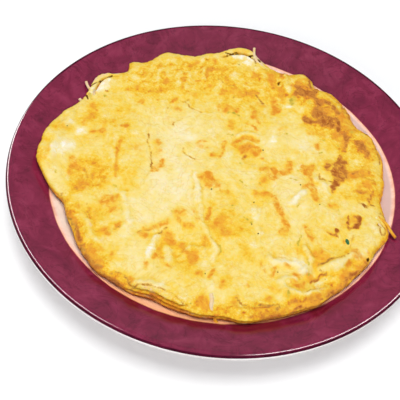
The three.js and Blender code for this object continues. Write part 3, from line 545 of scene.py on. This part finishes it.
def places(piece):
    """The vertices of a piece, in millimetres."""
    flat = np.empty(len(piece.data.vertices) * 3)
    piece.data.vertices.foreach_get("co", flat)
    return flat.reshape(-1, 3) / MM


def move_to(piece, points):
    piece.data.vertices.foreach_set("co", (points * MM).ravel())
    piece.data.update()


def store(piece, name, values):
    """Keeps a number for each vertex, which the piece's material reads."""
    attribute = piece.data.attributes.new(name, "FLOAT", "POINT")
    values = np.broadcast_to(values, len(piece.data.vertices))
    attribute.data.foreach_set("value", values.astype(np.float32))


def noise_at(x, y, size, seed):
    """Soft random waves of a size in millimetres, from -1 to 1."""
    return np.array([noise.noise((a, b, seed)) for a, b in zip(x / size, y / size)])


def waves_at(x, y, waves):
    """The sum of several random waves, each with its reach, size and seed."""
    return sum(reach * noise_at(x, y, size, seed) for reach, size, seed in waves)


def noise_round(turn, waves, seed):
    """Random waves that run round the omelette without a seam, from -1 to 1."""
    spots = zip(waves * np.cos(turn), waves * np.sin(turn), np.broadcast_to(seed, turn.shape))
    return np.array([noise.noise(spot) for spot in spots])


def painted(strokes, x, y, spread=1.2):
    """How much of a paint lies at each place, 0 to 1, from its strokes."""
    clear = np.ones(len(x))
    for strength, half, *line in strokes:
        line = np.array(line if len(line) > 1 else line * 2, float)
        low, high = line.min(0) - 2.5 * half, line.max(0) + 2.5 * half
        near = np.flatnonzero((x > low[0]) & (x < high[0]) & (y > low[1]) & (y < high[1]))
        spot = np.stack([x[near], y[near]], 1)
        away = np.full(len(near), np.inf)
        for start, end in zip(line, line[1:]):
            span = end - start
            along = np.clip((spot - start) @ span / max(span @ span, 1e-9), 0, 1)
            rest = spot - start - along[:, None] * span
            away = np.minimum(away, np.hypot(rest[:, 0], rest[:, 1]))
        clear[near] *= 1 - strength * np.exp(-(away / (spread * half)) ** 3)
    return 1 - clear


# ---- camera, floor and light ---------------------------------------------------------------------

CAMERA_PLACE = Vector((-13.44, -306.2, 364.7)) * MM
CAMERA_TILT = 38.42        # up from looking straight down
CAMERA_ROLL = 6.02
CAMERA_LENS = 63.0         # on a sensor 36 mm wide

SOFTBOXES = [  # for matt light: place in metres, width, length, turn, watts
    ("key_above", (0.05, 0.25, 2.45), 1.5, 1.5, 0, 40),
    ("fill_front", (-0.5, -1.9, 0.9), 1.4, 1.0, 0, 15),
]
STRIPS = [  # for the gleams in the plate's glaze alone
    ("strip_left", (-1.78, 0.68, 1.62), 0.6, 4.2, -41, 145),
    ("strip_right", (1.6, -0.12, 1.91), 0.6, 3.2, -134, 140),
]


def set_camera():
    bpy.ops.object.camera_add()
    camera = bpy.context.object
    camera.name = "camera"
    camera.data.lens = CAMERA_LENS
    camera.data.sensor_width = 36
    camera.data.clip_start = 0.01
    camera.matrix_world = (
        Matrix.Translation(CAMERA_PLACE)
        @ Matrix.Rotation(math.radians(CAMERA_TILT), 4, "X")
        @ Matrix.Rotation(math.radians(CAMERA_ROLL), 4, "Z")
    )
    bpy.context.scene.camera = camera


def add_light(name, place, width, length, turn, power, on_gloss):
    """A soft light that faces the plate, and shows either in matt surfaces or in glossy ones."""
    bpy.ops.object.light_add(type="AREA", location=place)
    lamp = bpy.context.object
    lamp.name = name
    lamp.data.shape = "RECTANGLE"
    lamp.data.size = width
    lamp.data.size_y = length
    lamp.data.energy = power
    lamp.rotation_mode = "QUATERNION"
    aim = (-Vector(place)).to_track_quat("-Z", "Y")
    lamp.rotation_quaternion = aim @ Quaternion((0, 0, 1), math.radians(turn))
    lamp.visible_glossy = on_gloss
    lamp.visible_diffuse = not on_gloss
    return lamp


def set_stage():
    """Lays the floor, sets the lights, and gives back the strip lights."""
    deselect()
    bpy.ops.mesh.primitive_plane_add(size=6, location=(0, 0, 0))
    floor = bpy.context.object
    floor.name = "floor"
    _, finish = new_material("white_paper")
    floor.data.materials.append(finish({"Base Color": "#fcfcfc", "Roughness": 0.9}))
    for box in SOFTBOXES:
        add_light(*box, False)
    world = bpy.data.worlds.new("studio")
    world.use_nodes = True
    world.node_tree.nodes["Background"].inputs["Color"].default_value = linear("#f2f4f8")
    world.node_tree.nodes["Background"].inputs["Strength"].default_value = 0.45
    bpy.context.scene.world = world
    bpy.context.scene.view_settings.view_transform = "Standard"
    return [add_light(*strip, True) for strip in STRIPS]


# ---- materials ------------------------------------------------------------------------------------


def per_metre(size):
    """The noise scale that sets its marks this many millimetres apart."""
    return 1 / (size * MM)


def set_stops(ramp, stops):
    """Gives a colour ramp its stops, each a place and a hex colour or a grey."""
    while len(ramp.elements) < len(stops):
        ramp.elements.new(0.5)
    for element, (place, colour) in zip(ramp.elements, stops):
        element.position = place
        element.color = linear(colour) if isinstance(colour, str) else (colour,) * 3 + (1,)


def new_material(name):
    """A material, as a function that adds a node to it and one that finishes its shader."""
    material = bpy.data.materials.new(name)
    material.use_nodes = True
    tree = material.node_tree

    def fill(node, settings, links):
        """Gives a node its settings, on sockets or on the node itself, and its links."""
        for key, value in (settings or {}).items():
            if key == "stops":
                set_stops(node.color_ramp, value)
            elif isinstance(key, int) or key in node.inputs:
                node.inputs[key].default_value = linear(value) if isinstance(value, str) else value
            else:
                setattr(node, key, value)
        for key, source in (links or {}).items():
            tree.links.new(source, node.inputs[key])
        return node

    def add(kind, settings=None, links=None):
        return fill(tree.nodes.new("ShaderNode" + kind), settings, links)

    def finish(settings, links=None):
        fill(tree.nodes["Principled BSDF"], settings, links)
        return material

    return add, finish


def two_tone(name, size, detail, stops, settings):
    """A plain material that drifts between two tones, in clouds of a size in millimetres."""
    add, finish = new_material(name)
    place = add("TexCoord").outputs["Object"]
    cloud = add("TexNoise", {"Scale": per_metre(size), "Detail": detail}, {"Vector": place})
    tone = add("ValToRGB", {"stops": stops}, {0: cloud.outputs["Fac"]})
    return finish(settings, {"Base Color": tone.outputs["Color"]})


def burgundy_glaze():
    """Reactive stoneware glaze, fired to a gloss: a deep red body that pools in soft clouds, with
    darker hairlines, running out into peach and cream over the well."""
    add, finish = new_material("burgundy_glaze")
    place = add("TexCoord").outputs["Object"]
    clouds = add("TexNoise", {"Scale": per_metre(13.33), "Detail": 6, "Roughness": 0.62, "Distortion": 0.6},
                 {"Vector": place})
    tone = add("ValToRGB", {"stops": [(0.33, "#5c0f2b"), (0.5, "#6b1533"), (0.68, "#7a2240")]},
               {0: clouds.outputs["Fac"]})
    veins = add("TexNoise", {"Scale": per_metre(23.81), "Detail": 4, "Roughness": 0.6, "Distortion": 1.4},
                {"Vector": place})
    hairline = add("ValToRGB", {"stops": [(0.475, 0.0), (0.495, 1.0), (0.512, 0.0)]},
                   {0: veins.outputs["Fac"]})
    weak = add("Math", {"operation": "MULTIPLY", 1: 0.5}, {0: hairline.outputs["Color"]})
    veined = add("Mix", {"data_type": "RGBA", "blend_type": "MULTIPLY", 7: "#b49cb0"},
                 {0: weak.outputs[0], 6: tone.outputs["Color"]})

    # distance from the plate's middle, with a slightly uneven edge
    flat = add("VectorMath", {"operation": "MULTIPLY", 1: (1, 1, 0)}, {0: place})
    away = add("VectorMath", {"operation": "LENGTH"}, {0: flat.outputs[0]})
    toward = add("VectorMath", {"operation": "DOT_PRODUCT", 1: CREEP_SIDE}, {0: place})
    crept = add("MapRange", {"From Min": CREEP_START * MM, "From Max": WELL_EDGE * MM, "To Max": CREEP * MM},
                {"Value": toward.outputs["Value"]})
    reached = add("Math", {"operation": "ADD"}, {0: away.outputs["Value"], 1: crept.outputs[0]})
    wobble = add("TexNoise", {"Scale": per_metre(16.67), "Detail": 2}, {"Vector": place})
    uneven = add("Math", {"operation": "MULTIPLY_ADD", 1: EDGE_WOBBLE * MM},
                 {0: wobble.outputs["Fac"], 2: reached.outputs[0]})

    # shares that grow from 0 to 1 between two distances from the well's edge, in millimetres
    band, edge, within, beside_egg = [
        add("MapRange", {"interpolation_type": ease, "From Min": (WELL_EDGE + start) * MM,
                         "From Max": (WELL_EDGE + end) * MM}, {"Value": uneven.outputs[0]}).outputs[0]
        for start, end, ease in ((-12, 2, "LINEAR"), (0.2, 0.9, "LINEAR"), (-0.8, -2.4, "LINEAR"),
                                 (12.5, 3.5, "SMOOTHSTEP"))
    ]
    # and shares that grow towards one side of the plate: axis, start, end, most
    sides = add("SeparateXYZ", None, {0: place})
    left, right, near, front = [
        add("MapRange", {"From Min": start * MM, "From Max": end * MM, "To Max": most},
            {"Value": sides.outputs[axis]}).outputs[0]
        for axis, start, end, most in (("X", -55, -90, 0.7), ("X", 60, 100, 0.9), ("Y", -84, -100, 0.75),
                                       ("Y", -66, -104, 0.85))
    ]

    well = add("ValToRGB", {"stops": [(0.0, "#e2d0c0"), (0.66, "#e3cec1"), (0.78, "#eac4b1"),
                                      (0.87, "#eeb497"), (0.9, "#b8605a")]}, {0: band})
    speckle = add("TexNoise", {"Scale": per_metre(9.09), "Detail": 5, "Roughness": 0.7}, {"Vector": place})
    soft = add("ValToRGB", {"stops": [(0.35, "#c9aaa6"), (0.6, "#ffffff")]}, {0: speckle.outputs["Fac"]})
    mottled = add("Mix", {"data_type": "RGBA", "blend_type": "MULTIPLY", 0: 0.55},
                  {6: well.outputs["Color"], 7: soft.outputs["Color"]})

    # inside its peach edge, the well is creamier on the left, and on the right it is drawn duller and greyer
    # as painted shade cast by the egg
    creamy = add("Math", {"operation": "MULTIPLY"}, {0: left, 1: within})
    creamed = add("Mix", {"data_type": "RGBA", 7: "#d3c2b4"}, {0: creamy.outputs[0], 6: mottled.outputs[2]})
    dull = add("Math", {"operation": "MULTIPLY"}, {0: right, 1: within})
    dulled = add("Mix", {"data_type": "RGBA", 7: "#bc9b93"}, {0: dull.outputs[0], 6: creamed.outputs[2]})

    # painted shade at the front, where the egg blocks the light and throws its warm colour: tan over the
    # well, and deeper red in patches over the rim beside it
    front_shaded = add("Mix", {"data_type": "RGBA", 7: "#dc9a66"}, {0: near, 6: dulled.outputs[2]})
    streaks = add("TexNoise", {"Scale": per_metre(35.7), "Detail": 3, "Distortion": 1.2}, {"Vector": place})
    patchy = add("MapRange", {"From Min": 0.4, "From Max": 0.55}, {"Value": streaks.outputs["Fac"]})
    run = add("Math", {"operation": "MULTIPLY"}, {0: front, 1: beside_egg})
    rim_shade = add("Math", {"operation": "MULTIPLY"}, {0: run.outputs[0], 1: patchy.outputs[0]})
    rim_shaded = add("Mix", {"data_type": "RGBA", 7: "#5b0b19"}, {0: rim_shade.outputs[0], 6: veined.outputs[2]})

    whole = add("Mix", {"data_type": "RGBA"}, {0: edge, 6: front_shaded.outputs[2], 7: rim_shaded.outputs[2]})
    ripple = add("TexNoise", {"Scale": per_metre(11.11), "Detail": 2}, {"Vector": place})
    bump = add("Bump", {"Strength": 0.12, "Distance": 0.0004}, {"Height": ripple.outputs["Fac"]})
    return finish({"Roughness": 0.11, "IOR": 1.5},
                  {"Base Color": whole.outputs[2], "Normal": bump.outputs[0]})


def painted_lip_shade():
    """Painted shade on the outside of the lip: the burgundy glaze drawn nearly black red and dull, with
    almost no reflection.
    """
    return two_tone("painted_lip_shade", 8.33, 3, [(0.35, "#36091a"), (0.65, "#4e0e26")],
                    {"Roughness": 0.5, "Specular IOR Level": 0.02})


def white_glaze():
    """Clear glaze over white slip on the underside: a cool, even gloss."""
    return two_tone("white_glaze", 25, 3, [(0.35, "#e6dcda"), (0.65, "#f2ecea")], {"Roughness": 0.2})


def biscuit():
    """Bare fired clay where the foot was wiped clean of glaze: matt and slightly grainy. The grit is
    drawn coarser than it is, so that it shows."""
    return two_tone("biscuit", 1.11, 2, [(0.3, "#b59c86"), (0.7, "#d5c1aa")], {"Roughness": 0.85})


def black_pepper():
    """Cracked peppercorn: dark brown and matt, with lighter broken faces."""
    return two_tone("black_pepper", 0.667, 2, [(0.4, "#2c2008"), (0.7, "#6a5420")], {"Roughness": 0.7})


def parsley():
    """A torn scrap of herb leaf: deep green, a little moist."""
    return two_tone("parsley", 1.11, 2, [(0.35, "#1f5c34"), (0.7, "#4f8450")], {"Roughness": 0.5})


def fried_egg():
    """Beaten egg set in a buttered pan: opaque yellow custard with paler curds and a few painted
    highlights, gold to brown where it touched the metal, greenish in the hollows, and painted shade
    drawn dark down the folds and gaps."""
    add, finish = new_material("fried_egg")
    place = add("TexCoord").outputs["Object"]

    # how far it is done: noise around nought is added, as strong as one of the stored weights
    done = add("Attribute", {"attribute_name": "doneness"}).outputs["Fac"]
    for size, reach, weight in ((7.692, 0.44, "grain"), (5.882, 1.0, "lace"), (2.083, 0.5, "grain"),
                                (1.111, 0.6, "lace")):
        ripple = add("TexNoise", {"Scale": per_metre(size), "Detail": 5, "Roughness": 0.6,
                                  "Distortion": 0.4}, {"Vector": place})
        middle = add("Math", {"operation": "MULTIPLY_ADD", 1: reach, 2: -reach / 2},
                     {0: ripple.outputs["Fac"]})
        strength = add("Attribute", {"attribute_name": weight})
        weighed = add("Math", {"operation": "MULTIPLY"}, {0: middle.outputs[0], 1: strength.outputs["Fac"]})
        done = add("Math", {"operation": "ADD"}, {0: done, 1: weighed.outputs[0]}).outputs[0]
    body = add("ValToRGB", {"stops": [(0.0, "#f2e4b6"), (0.2, "#f0da8a"), (0.32, "#efd26c"),
                                      (0.44, "#efc94a"), (0.56, "#ebb82e"), (0.7, "#e1972a"),
                                      (0.85, "#c87632"), (1.0, "#9e4e1a")]}, {0: done})

    # fine wrinkles: the lines where a noise crosses its middle, sunk by the bump below and drawn darker gold
    # as painted shade in them
    folds = add("TexNoise", {"Scale": per_metre(16.67), "Detail": 3, "Roughness": 0.55, "Distortion": 1.6},
                {"Vector": place})
    centred = add("Math", {"operation": "SUBTRACT", 1: 0.5}, {0: folds.outputs["Fac"]})
    ridged = add("Math", {"operation": "ABSOLUTE"}, {0: centred.outputs[0]})
    line = add("MapRange", {"From Max": 0.016, "To Min": 0.3, "To Max": 0.0}, {"Value": ridged.outputs[0]})
    lined = add("Mix", {"data_type": "RGBA", 7: "#e3a93a"}, {0: line.outputs[0], 6: body.outputs["Color"]})

    # the stored paints lie over one another, with edges that the grain tears: each has a thin and a
    # full colour, and covers what is below between two amounts
    grain = add("TexNoise", {"Scale": per_metre(3.846), "Detail": 7, "Roughness": 0.7, "Distortion": 0.7},
                {"Vector": place})
    ragged = add("MapRange", {"From Min": 0.3, "From Max": 0.7, "To Min": 0.35, "To Max": 1.65},
                 {"Value": grain.outputs["Fac"]})
    colour = lined.outputs[2]
    # crease and dark below are painted shade in folds and gaps, and pale holds a few painted highlights
    for name, thin, full, low, high in (
        ("pale", "#f1e6b0", "#f6f0e0", 0.3, 1.3), ("toast", "#eeb641", "#e0902a", 0.25, 1.0),
        ("brown", "#d9953e", "#a35a24", 0.3, 0.85), ("olive", "#dfc24a", "#ac9634", 0.25, 0.8),
        ("blush", "#edc992", "#efd3ac", 0.3, 0.7), ("crease", "#d8a444", "#9a5e26", 0.25, 0.8),
        ("dark", "#8a5a14", "#3a2004", 0.3, 0.7),
    ):
        amount = add("Attribute", {"attribute_name": name})
        torn = add("Math", {"operation": "MULTIPLY"}, {0: ragged.outputs[0], 1: amount.outputs["Fac"]})
        share = add("MapRange", {"interpolation_type": "SMOOTHSTEP", "From Min": low, "From Max": high},
                    {"Value": torn.outputs[0]})
        deep = add("MapRange", {"From Min": 0.45, "From Max": 1.15}, {"Value": torn.outputs[0]})
        tone = add("Mix", {"data_type": "RGBA", 6: thin, 7: full}, {0: deep.outputs[0]})
        layer = add("Mix", {"data_type": "RGBA"}, {0: share.outputs[0], 6: colour, 7: tone.outputs[2]})
        colour = layer.outputs[2]

    pores = add("TexNoise", {"Scale": per_metre(1.613), "Detail": 4, "Roughness": 0.6}, {"Vector": place})
    bump = add("Bump", {"Strength": 0.35, "Distance": 0.0005}, {"Height": pores.outputs["Fac"]})
    wrinkle = add("MapRange", {"From Max": 0.05}, {"Value": ridged.outputs[0]})
    wrinkled = add("Bump", {"Strength": 0.4, "Distance": 0.0004},
                   {"Height": wrinkle.outputs[0], "Normal": bump.outputs[0]})
    return finish(
        {"Roughness": 0.42, "IOR": 1.42, "Specular IOR Level": 0.08, "Subsurface Weight": 0.12,
         "Subsurface Radius": (1, 0.55, 0.25), "Subsurface Scale": 0.002},
        {"Base Color": colour, "Normal": wrinkled.outputs[0]},
    )


# ---- plate ------------------------------------------------------------------------------------------


def glaze_height(radius):
    """Height of the glaze on the plate's upper side, at a distance from its middle."""
    bend = BEND_RADIUS - FLOOR_RADIUS
    out = np.asarray(radius, float) - FLOOR_RADIUS
    curve = FLOOR_TOP + RIM_SLOPE * np.clip(out, 0, bend) ** 2 / (2 * bend)
    return curve + RIM_SLOPE * np.maximum(out - bend, 0)


def plate_section():
    """The turned section, from the middle of the upper side, over the lip, to the middle below."""
    bead_middle = PLATE_RADIUS - LIP_BEAD
    bead_height = float(glaze_height(bead_middle)) - BEAD_SINK
    face_foot = bead_height - LIP_FACE
    line = [(r, FLOOR_TOP) for r in (0, 40, 80)]
    line += [(r, float(glaze_height(r))) for r in np.linspace(FLOOR_RADIUS, BEND_RADIUS, 8)]
    line += [(r, float(glaze_height(r))) for r in np.linspace(RIM_FOOT, LIP_RISE, 8)]
    for turn in np.radians(np.linspace(BEAD_START, 0, 14)):
        line.append((bead_middle + LIP_BEAD * math.cos(turn), bead_height + LIP_BEAD * math.sin(turn)))
    corner, rise = LIP_CORNER
    ease, drop = LIP_EASE
    line += [(PLATE_RADIUS, face_foot + rise), (PLATE_RADIUS - corner, face_foot)]
    line.append((PLATE_RADIUS - ease, face_foot - drop))
    for radius in np.linspace(BEND_RADIUS, FLOOR_RADIUS, 7) + UNDER_SHIFT:
        line.append((radius, float(glaze_height(radius)) - WALL))
    half = FOOT_WIDTH / 2
    ease, rise = FOOT_EASE
    foot_top = FLOOR_TOP - WALL
    line += [(FOOT_RADIUS + half + FOOT_TAPER, foot_top), (FOOT_RADIUS + half + ease, rise)]
    line += [(FOOT_RADIUS + half, 0), (FOOT_RADIUS - half, 0), (FOOT_RADIUS - half - ease, rise)]
    line += [(FOOT_RADIUS - half - FOOT_TAPER, foot_top), (40, foot_top), (0, foot_top)]
    return line


def make_plate():
    plate = turn_round(draw_line("dinner_plate", plate_section()), PLATE_STEPS)
    for glaze in (burgundy_glaze(), white_glaze(), biscuit(), painted_lip_shade()):
        plate.data.materials.append(glaze)
    white, bare, dark = 1, 2, 3
    start, end = LIP_SHADE_TURN
    for face in plate.data.polygons:
        x, y, height = face.center / MM
        radius = math.hypot(x, y)
        back = smooth((y / max(radius, 1) - start) / (end - start))
        if height < FOOT_BARE:
            face.material_index = bare
        elif height < min(glaze_height(radius) - GLAZE_EDGE, COLOUR_LINE):
            face.material_index = white
        # the lip's outer side, wider at the back, takes the painted shade
        elif radius > PLATE_RADIUS - mix(LIP_SHADE, LIP_SHADE_BACK, back):
            face.material_index = dark
    deselect()
    plate.select_set(True)
    bpy.context.view_layer.objects.active = plate
    bpy.ops.object.shade_smooth_by_angle(angle=math.radians(40))
    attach(plate, "root")
    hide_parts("plate")
    return plate


# ---- omelette ---------------------------------------------------------------------------------------


def outline_radius(angle):
    radius = np.full_like(angle, EGG_RADIUS)
    for at, reach, before, after in OUTLINE:
        turn = turn_from(at, angle)
        radius += reach * bell(turn, np.where(turn < 0, before, after))
    for waves, reach, start in RIPPLES:
        radius += reach * np.cos(waves * np.radians(angle) + start)
    return radius


def edge_section(angle):
    """The edge section at each angle, as an array of angle, point, and (outwards, height share)."""
    section = np.tile(np.array(SECTIONS["round"], float), (len(angle), 1, 1))
    for name, at, half, fade in STRETCHES:
        share = smooth((half + fade - np.abs(turn_from(at, angle))) / fade)[:, None, None]
        section = mix(section, np.array(SECTIONS[name], float)[None], share)
    return section


def curve_weights(count, samples):
    """Weights that turn a section's points into samples along one smooth curve through them."""
    table = np.zeros((samples, count))
    for row, place in enumerate(np.linspace(0, count - 1, samples)):
        start = min(int(place), count - 2)
        t = place - start
        for offset, weight in (
            (-1, -0.5 * t + t * t - 0.5 * t ** 3), (0, 1 - 2.5 * t * t + 1.5 * t ** 3),
            (1, 0.5 * t + 2 * t * t - 1.5 * t ** 3), (2, -0.5 * t * t + 0.5 * t ** 3),
        ):
            table[row, min(max(start + offset, 0), count - 1)] += weight
    return table


def top_height(x, y):
    radius = np.hypot(x, y)
    angle = np.degrees(np.arctan2(y, x)) % 360
    edge = mix(EGG_EDGE, EGG_THIN_EDGE, bell(turn_from(THIN_SIDE[0], angle), THIN_SIDE[1]))
    height = mix(EGG_MIDDLE, edge, smooth(radius / EGG_RADIUS))
    climb = CLIMB + CLIMB_LEFT * bell(turn_from(LEFT_SIDE[0], angle), LEFT_SIDE[1])
    height = height + climb * (glaze_height(radius) - FLOOR_TOP)
    for at_x, at_y, rise, reach in SWELLS:
        height += rise * bell(np.hypot(x - at_x, y - at_y), reach)
    return height


def egg_skin():
    """A closed skin, spun from a half circle, with each vertex's step round it and ring from the top."""
    bows = [math.pi * i / (RINGS - 1) for i in range(RINGS)]
    guide = [(EGG_RADIUS * math.sin(bow), EGG_RADIUS * math.cos(bow)) for bow in bows]
    skin = turn_round(draw_line("omelette_round", guide), EGG_STEPS)
    x, y, z = places(skin).T
    ring = np.rint(np.arctan2(np.hypot(x, y), z) / math.pi * (RINGS - 1)).astype(int)
    step = np.rint(np.degrees(np.arctan2(y, x)) % 360 / (360 / EGG_STEPS)).astype(int) % EGG_STEPS
    return skin, step, ring


def egg_profile(step, ring):
    """Each vertex's distance from the middle, and its height as a share of the thickness."""
    angle = np.arange(EGG_STEPS) * 360 / EGG_STEPS
    outline = outline_radius(angle)
    for rough, waves, seed in CRUMBS:
        outline = outline + rough * noise_round(np.radians(angle), waves, seed)
    weights = curve_weights(len(SECTIONS["round"]), EDGE_RINGS)
    section = np.einsum("sp,apk->ask", weights, edge_section(angle))
    reach = np.zeros((EGG_STEPS, RINGS))
    share = np.ones((EGG_STEPS, RINGS))
    for i in range(TOP_RINGS):
        reach[:, i] = (outline - EDGE_BAND) * (i / TOP_RINGS) ** RING_BIAS
    edge = slice(TOP_RINGS, TOP_RINGS + EDGE_RINGS)
    reach[:, edge] = outline[:, None] + section[:, :, 0]
    share[:, edge] = section[:, :, 1]
    for i in range(UNDER_RINGS):
        reach[:, RINGS - 1 - i] = (outline - UNDER_INSET) * i / UNDER_RINGS
        share[:, RINGS - 1 - i] = 0
    return reach[step, ring], np.clip(share[step, ring], 0, 1)


def egg_coats(x, y, wander_x, wander_y, turn, part):
    """How much of each paint lies on each vertex, and how far the egg is done there, 0 to 1."""
    wash = painted(WASH, x, y)
    cool = painted(COOL, x, y)
    fibres = noise_at(wander_x * 4, wander_y, 9, 43) * bell(np.hypot(x + 40, y - 75), 45)
    doneness = 0.3 + 0.13 * waves_at(wander_x, wander_y, SWIRLS) + 0.12 * fibres + 0.38 * (wash - cool)

    coats = {}
    mottle = np.clip(0.95 + 0.9 * noise_at(x, y, 3.5, 51), 0.3, 1.2)
    for name, (strokes, broken, spread, _, further) in COATS.items():
        amount = painted(strokes, wander_x, wander_y, spread) * smooth(part / 0.4)
        coats[name] = np.clip(amount * mix(1, mottle, broken), 0, 1)
        doneness += further * coats[name]
    coats["lace"] = smooth(wash / 0.45)
    coats["grain"] = 1 - 0.55 * smooth(cool / 0.35)

    # the side shows its layers and is browner at its foot, partly as egg fried against the pan and partly as
    # painted contact shade; a painted shade line, like a groove between layers, runs along the front
    wall = smooth((0.86 - part) / 0.4)
    layers = noise_round(turn, 14, part * 7)
    doneness = mix(doneness, 0.76 + 0.22 * layers, 0.85 * wall)
    coats["doneness"] = mix(doneness, 1.0, smooth((0.3 - part) / 0.2))
    coats["blush"] = np.maximum(coats["blush"], 0.4 * wall * np.clip(0.6 + 1.2 * layers, 0, 1))
    groove = bell(part - 0.5, 0.07) * bell(turn_from(270, np.degrees(turn)), 62)
    coats["crease"] = np.maximum(coats["crease"], groove * np.clip(0.7 + layers, 0, 1))
    return coats


def egg_relief(coats, x, y, wander_x, wander_y):
    """The fine relief of the upper side, in millimetres."""
    relief = waves_at(x, y, RELIEF)
    for name, (_, _, _, lift, _) in COATS.items():
        relief += lift * coats[name]
    for height, *ridge in RIDGES:
        relief += RIDGE_LIFT * height * painted([(1, *ridge)], wander_x, wander_y, 0.95)
    return relief


def stands_proud(relief, step, ring, radius):
    """How far each place stands above its surroundings."""
    grid = np.zeros((EGG_STEPS, RINGS))
    grid[step, ring] = relief
    grid[:, 0] = grid[0, 0]
    arc = np.maximum(radius, 1) * math.tau / EGG_STEPS
    beside = np.clip(np.rint(LEDGE / arc), 1, 60).astype(int)
    around = grid[(step + beside) % EGG_STEPS, ring] + grid[(step - beside) % EGG_STEPS, ring]
    around = around + grid[step, np.maximum(ring - 2, 0)] + grid[step, np.minimum(ring + 2, RINGS - 1)]
    return relief - around / 4


def make_shred(name, radius, line):
    """A loose shred: a round strand along a smooth line, closed at both ends."""
    deselect()
    bpy.ops.curve.primitive_nurbs_path_add(location=(0, 0, 0))
    strand = bpy.context.object
    strand.name = name
    spline = strand.data.splines[0]
    spline.points.add(len(line) + 2 - len(spline.points))
    for point, place in zip(spline.points, [line[0]] + line + [line[-1]]):
        point.co = Vector(place + (1 / MM,)) * MM
    spline.use_endpoint_u = True
    spline.order_u = 3
    spline.resolution_u = 8
    strand.data.bevel_depth = radius * MM
    strand.data.bevel_resolution = 3
    strand.data.use_fill_caps = True
    bpy.ops.object.convert(target="MESH")
    bpy.ops.object.shade_smooth()
    return bpy.context.object


def make_omelette():
    omelette, step, ring = egg_skin()
    radius, part = egg_profile(step, ring)
    turn = np.radians(step * 360 / EGG_STEPS)
    x = radius * np.cos(turn)
    y = radius * np.sin(turn)
    wander_x = x + waves_at(x, y, WANDER_X)
    wander_y = y + waves_at(x, y, WANDER_Y)
    coats = egg_coats(x, y, wander_x, wander_y, turn, part)
    relief = egg_relief(coats, x, y, wander_x, wander_y)
    proud = np.clip(stands_proud(relief, step, ring, radius), -0.4, 0.25)
    # painted light and shade: places that stand proud of their surroundings are drawn paler, and hollows
    # browner, on the upper side
    coats["doneness"] -= 0.36 * proud * smooth((part - 0.8) / 0.15)

    top = top_height(x, y) + relief * smooth((part - 0.3) / 0.5)
    under = glaze_height(radius) + CLEARANCE
    move_to(omelette, np.stack([x, y, mix(under, top, part)], 1))
    for name, amount in coats.items():
        store(omelette, name, amount)
    egg = fried_egg()
    omelette.data.materials.append(egg)

    pieces = [omelette]
    for i, (colour, thick, line) in enumerate(SHREDS):
        strand = make_shred(f"shred_{i}", thick, line)
        strand.data.materials.append(egg)
        store(strand, colour, 0.8)
        store(strand, "doneness", 0.5)
        pieces.append(strand)
    join(pieces)
    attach(omelette, "root")
    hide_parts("omelette")
    return omelette


# ---- pepper and herb ----------------------------------------------------------------------------------

SPECKS = [  # pepper: x, y, size
    (-6.9, -23.2, 1.1), (25.2, 15.7, 1.1), (50.3, -11.3, 1.1), (62.7, -25.2, 0.9), (20.6, -29.7, 1.0),
    (24, -54, 1.1), (19.8, -47.2, 0.9), (36.5, -79.7, 0.8), (-6, -86, 0.9), (5, 99.8, 0.8),
    (-107.4, 17.4, 0.7),
]
HERB_PLACE = (79.1, -52.1)


def on_egg(surface, x, y, lift):
    """A place on the omelette's upper side, or a little above it, in metres."""
    nearest = surface[np.argmin(np.hypot(surface[:, 0] - x, surface[:, 1] - y) - surface[:, 2])]
    return (x * MM, y * MM, (nearest[2] + lift) * MM)


def make_pepper(surface):
    """Cracked pepper: each grain is a ball, roughened, flattened and turned."""
    random.seed(6)
    grains = []
    for i, (x, y, size) in enumerate(SPECKS):
        deselect()
        place = on_egg(surface, x, y, 0.1)
        bpy.ops.mesh.primitive_ico_sphere_add(subdivisions=2, radius=size * MM / 2, location=place)
        grain = bpy.context.object
        grain.name = f"pepper_grain_{i}"
        bpy.ops.object.mode_set(mode="EDIT")
        bpy.ops.transform.vertex_random(offset=size * MM * 0.12, seed=i)
        bpy.ops.transform.resize(value=(1, random.uniform(0.6, 0.9), 0.5))
        bpy.ops.transform.rotate(value=random.uniform(0, math.pi), orient_axis="Z",
                                 center_override=(x * MM, y * MM, 0))
        bpy.ops.object.mode_set(mode="OBJECT")
        grains.append(grain)
    pepper = join(grains)
    pepper.name = "pepper"
    bpy.ops.object.transform_apply(location=True, rotation=True, scale=True)
    pepper.data.materials.append(black_pepper())
    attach(pepper, "root")


def make_herb(surface):
    """One torn scrap of leaf."""
    x, y = HERB_PLACE
    deselect()
    bpy.ops.mesh.primitive_uv_sphere_add(segments=16, ring_count=8, radius=MM,
                                         location=on_egg(surface, x, y, 0.15))
    herb = bpy.context.object
    herb.name = "herb_scrap"
    bpy.ops.object.mode_set(mode="EDIT")
    bpy.ops.transform.resize(value=(1.15, 2.2, 0.22))
    bpy.ops.transform.vertex_random(offset=0.12 * MM, seed=4)
    bpy.ops.transform.rotate(value=math.radians(-14), orient_axis="Z", center_override=(x * MM, y * MM, 0))
    bpy.ops.object.mode_set(mode="OBJECT")
    bpy.ops.object.transform_apply(location=True, rotation=True, scale=True)
    bpy.ops.object.shade_smooth()
    herb.data.materials.append(parsley())
    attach(herb, "root")


set_camera()
strips = set_stage()
glossy = bpy.data.collections.new("glossy_ware")
glossy.objects.link(make_plate())
for strip in strips:
    strip.light_linking.receiver_collection = glossy
egg_surface = places(make_omelette())
make_pepper(egg_surface)
make_herb(egg_surface)
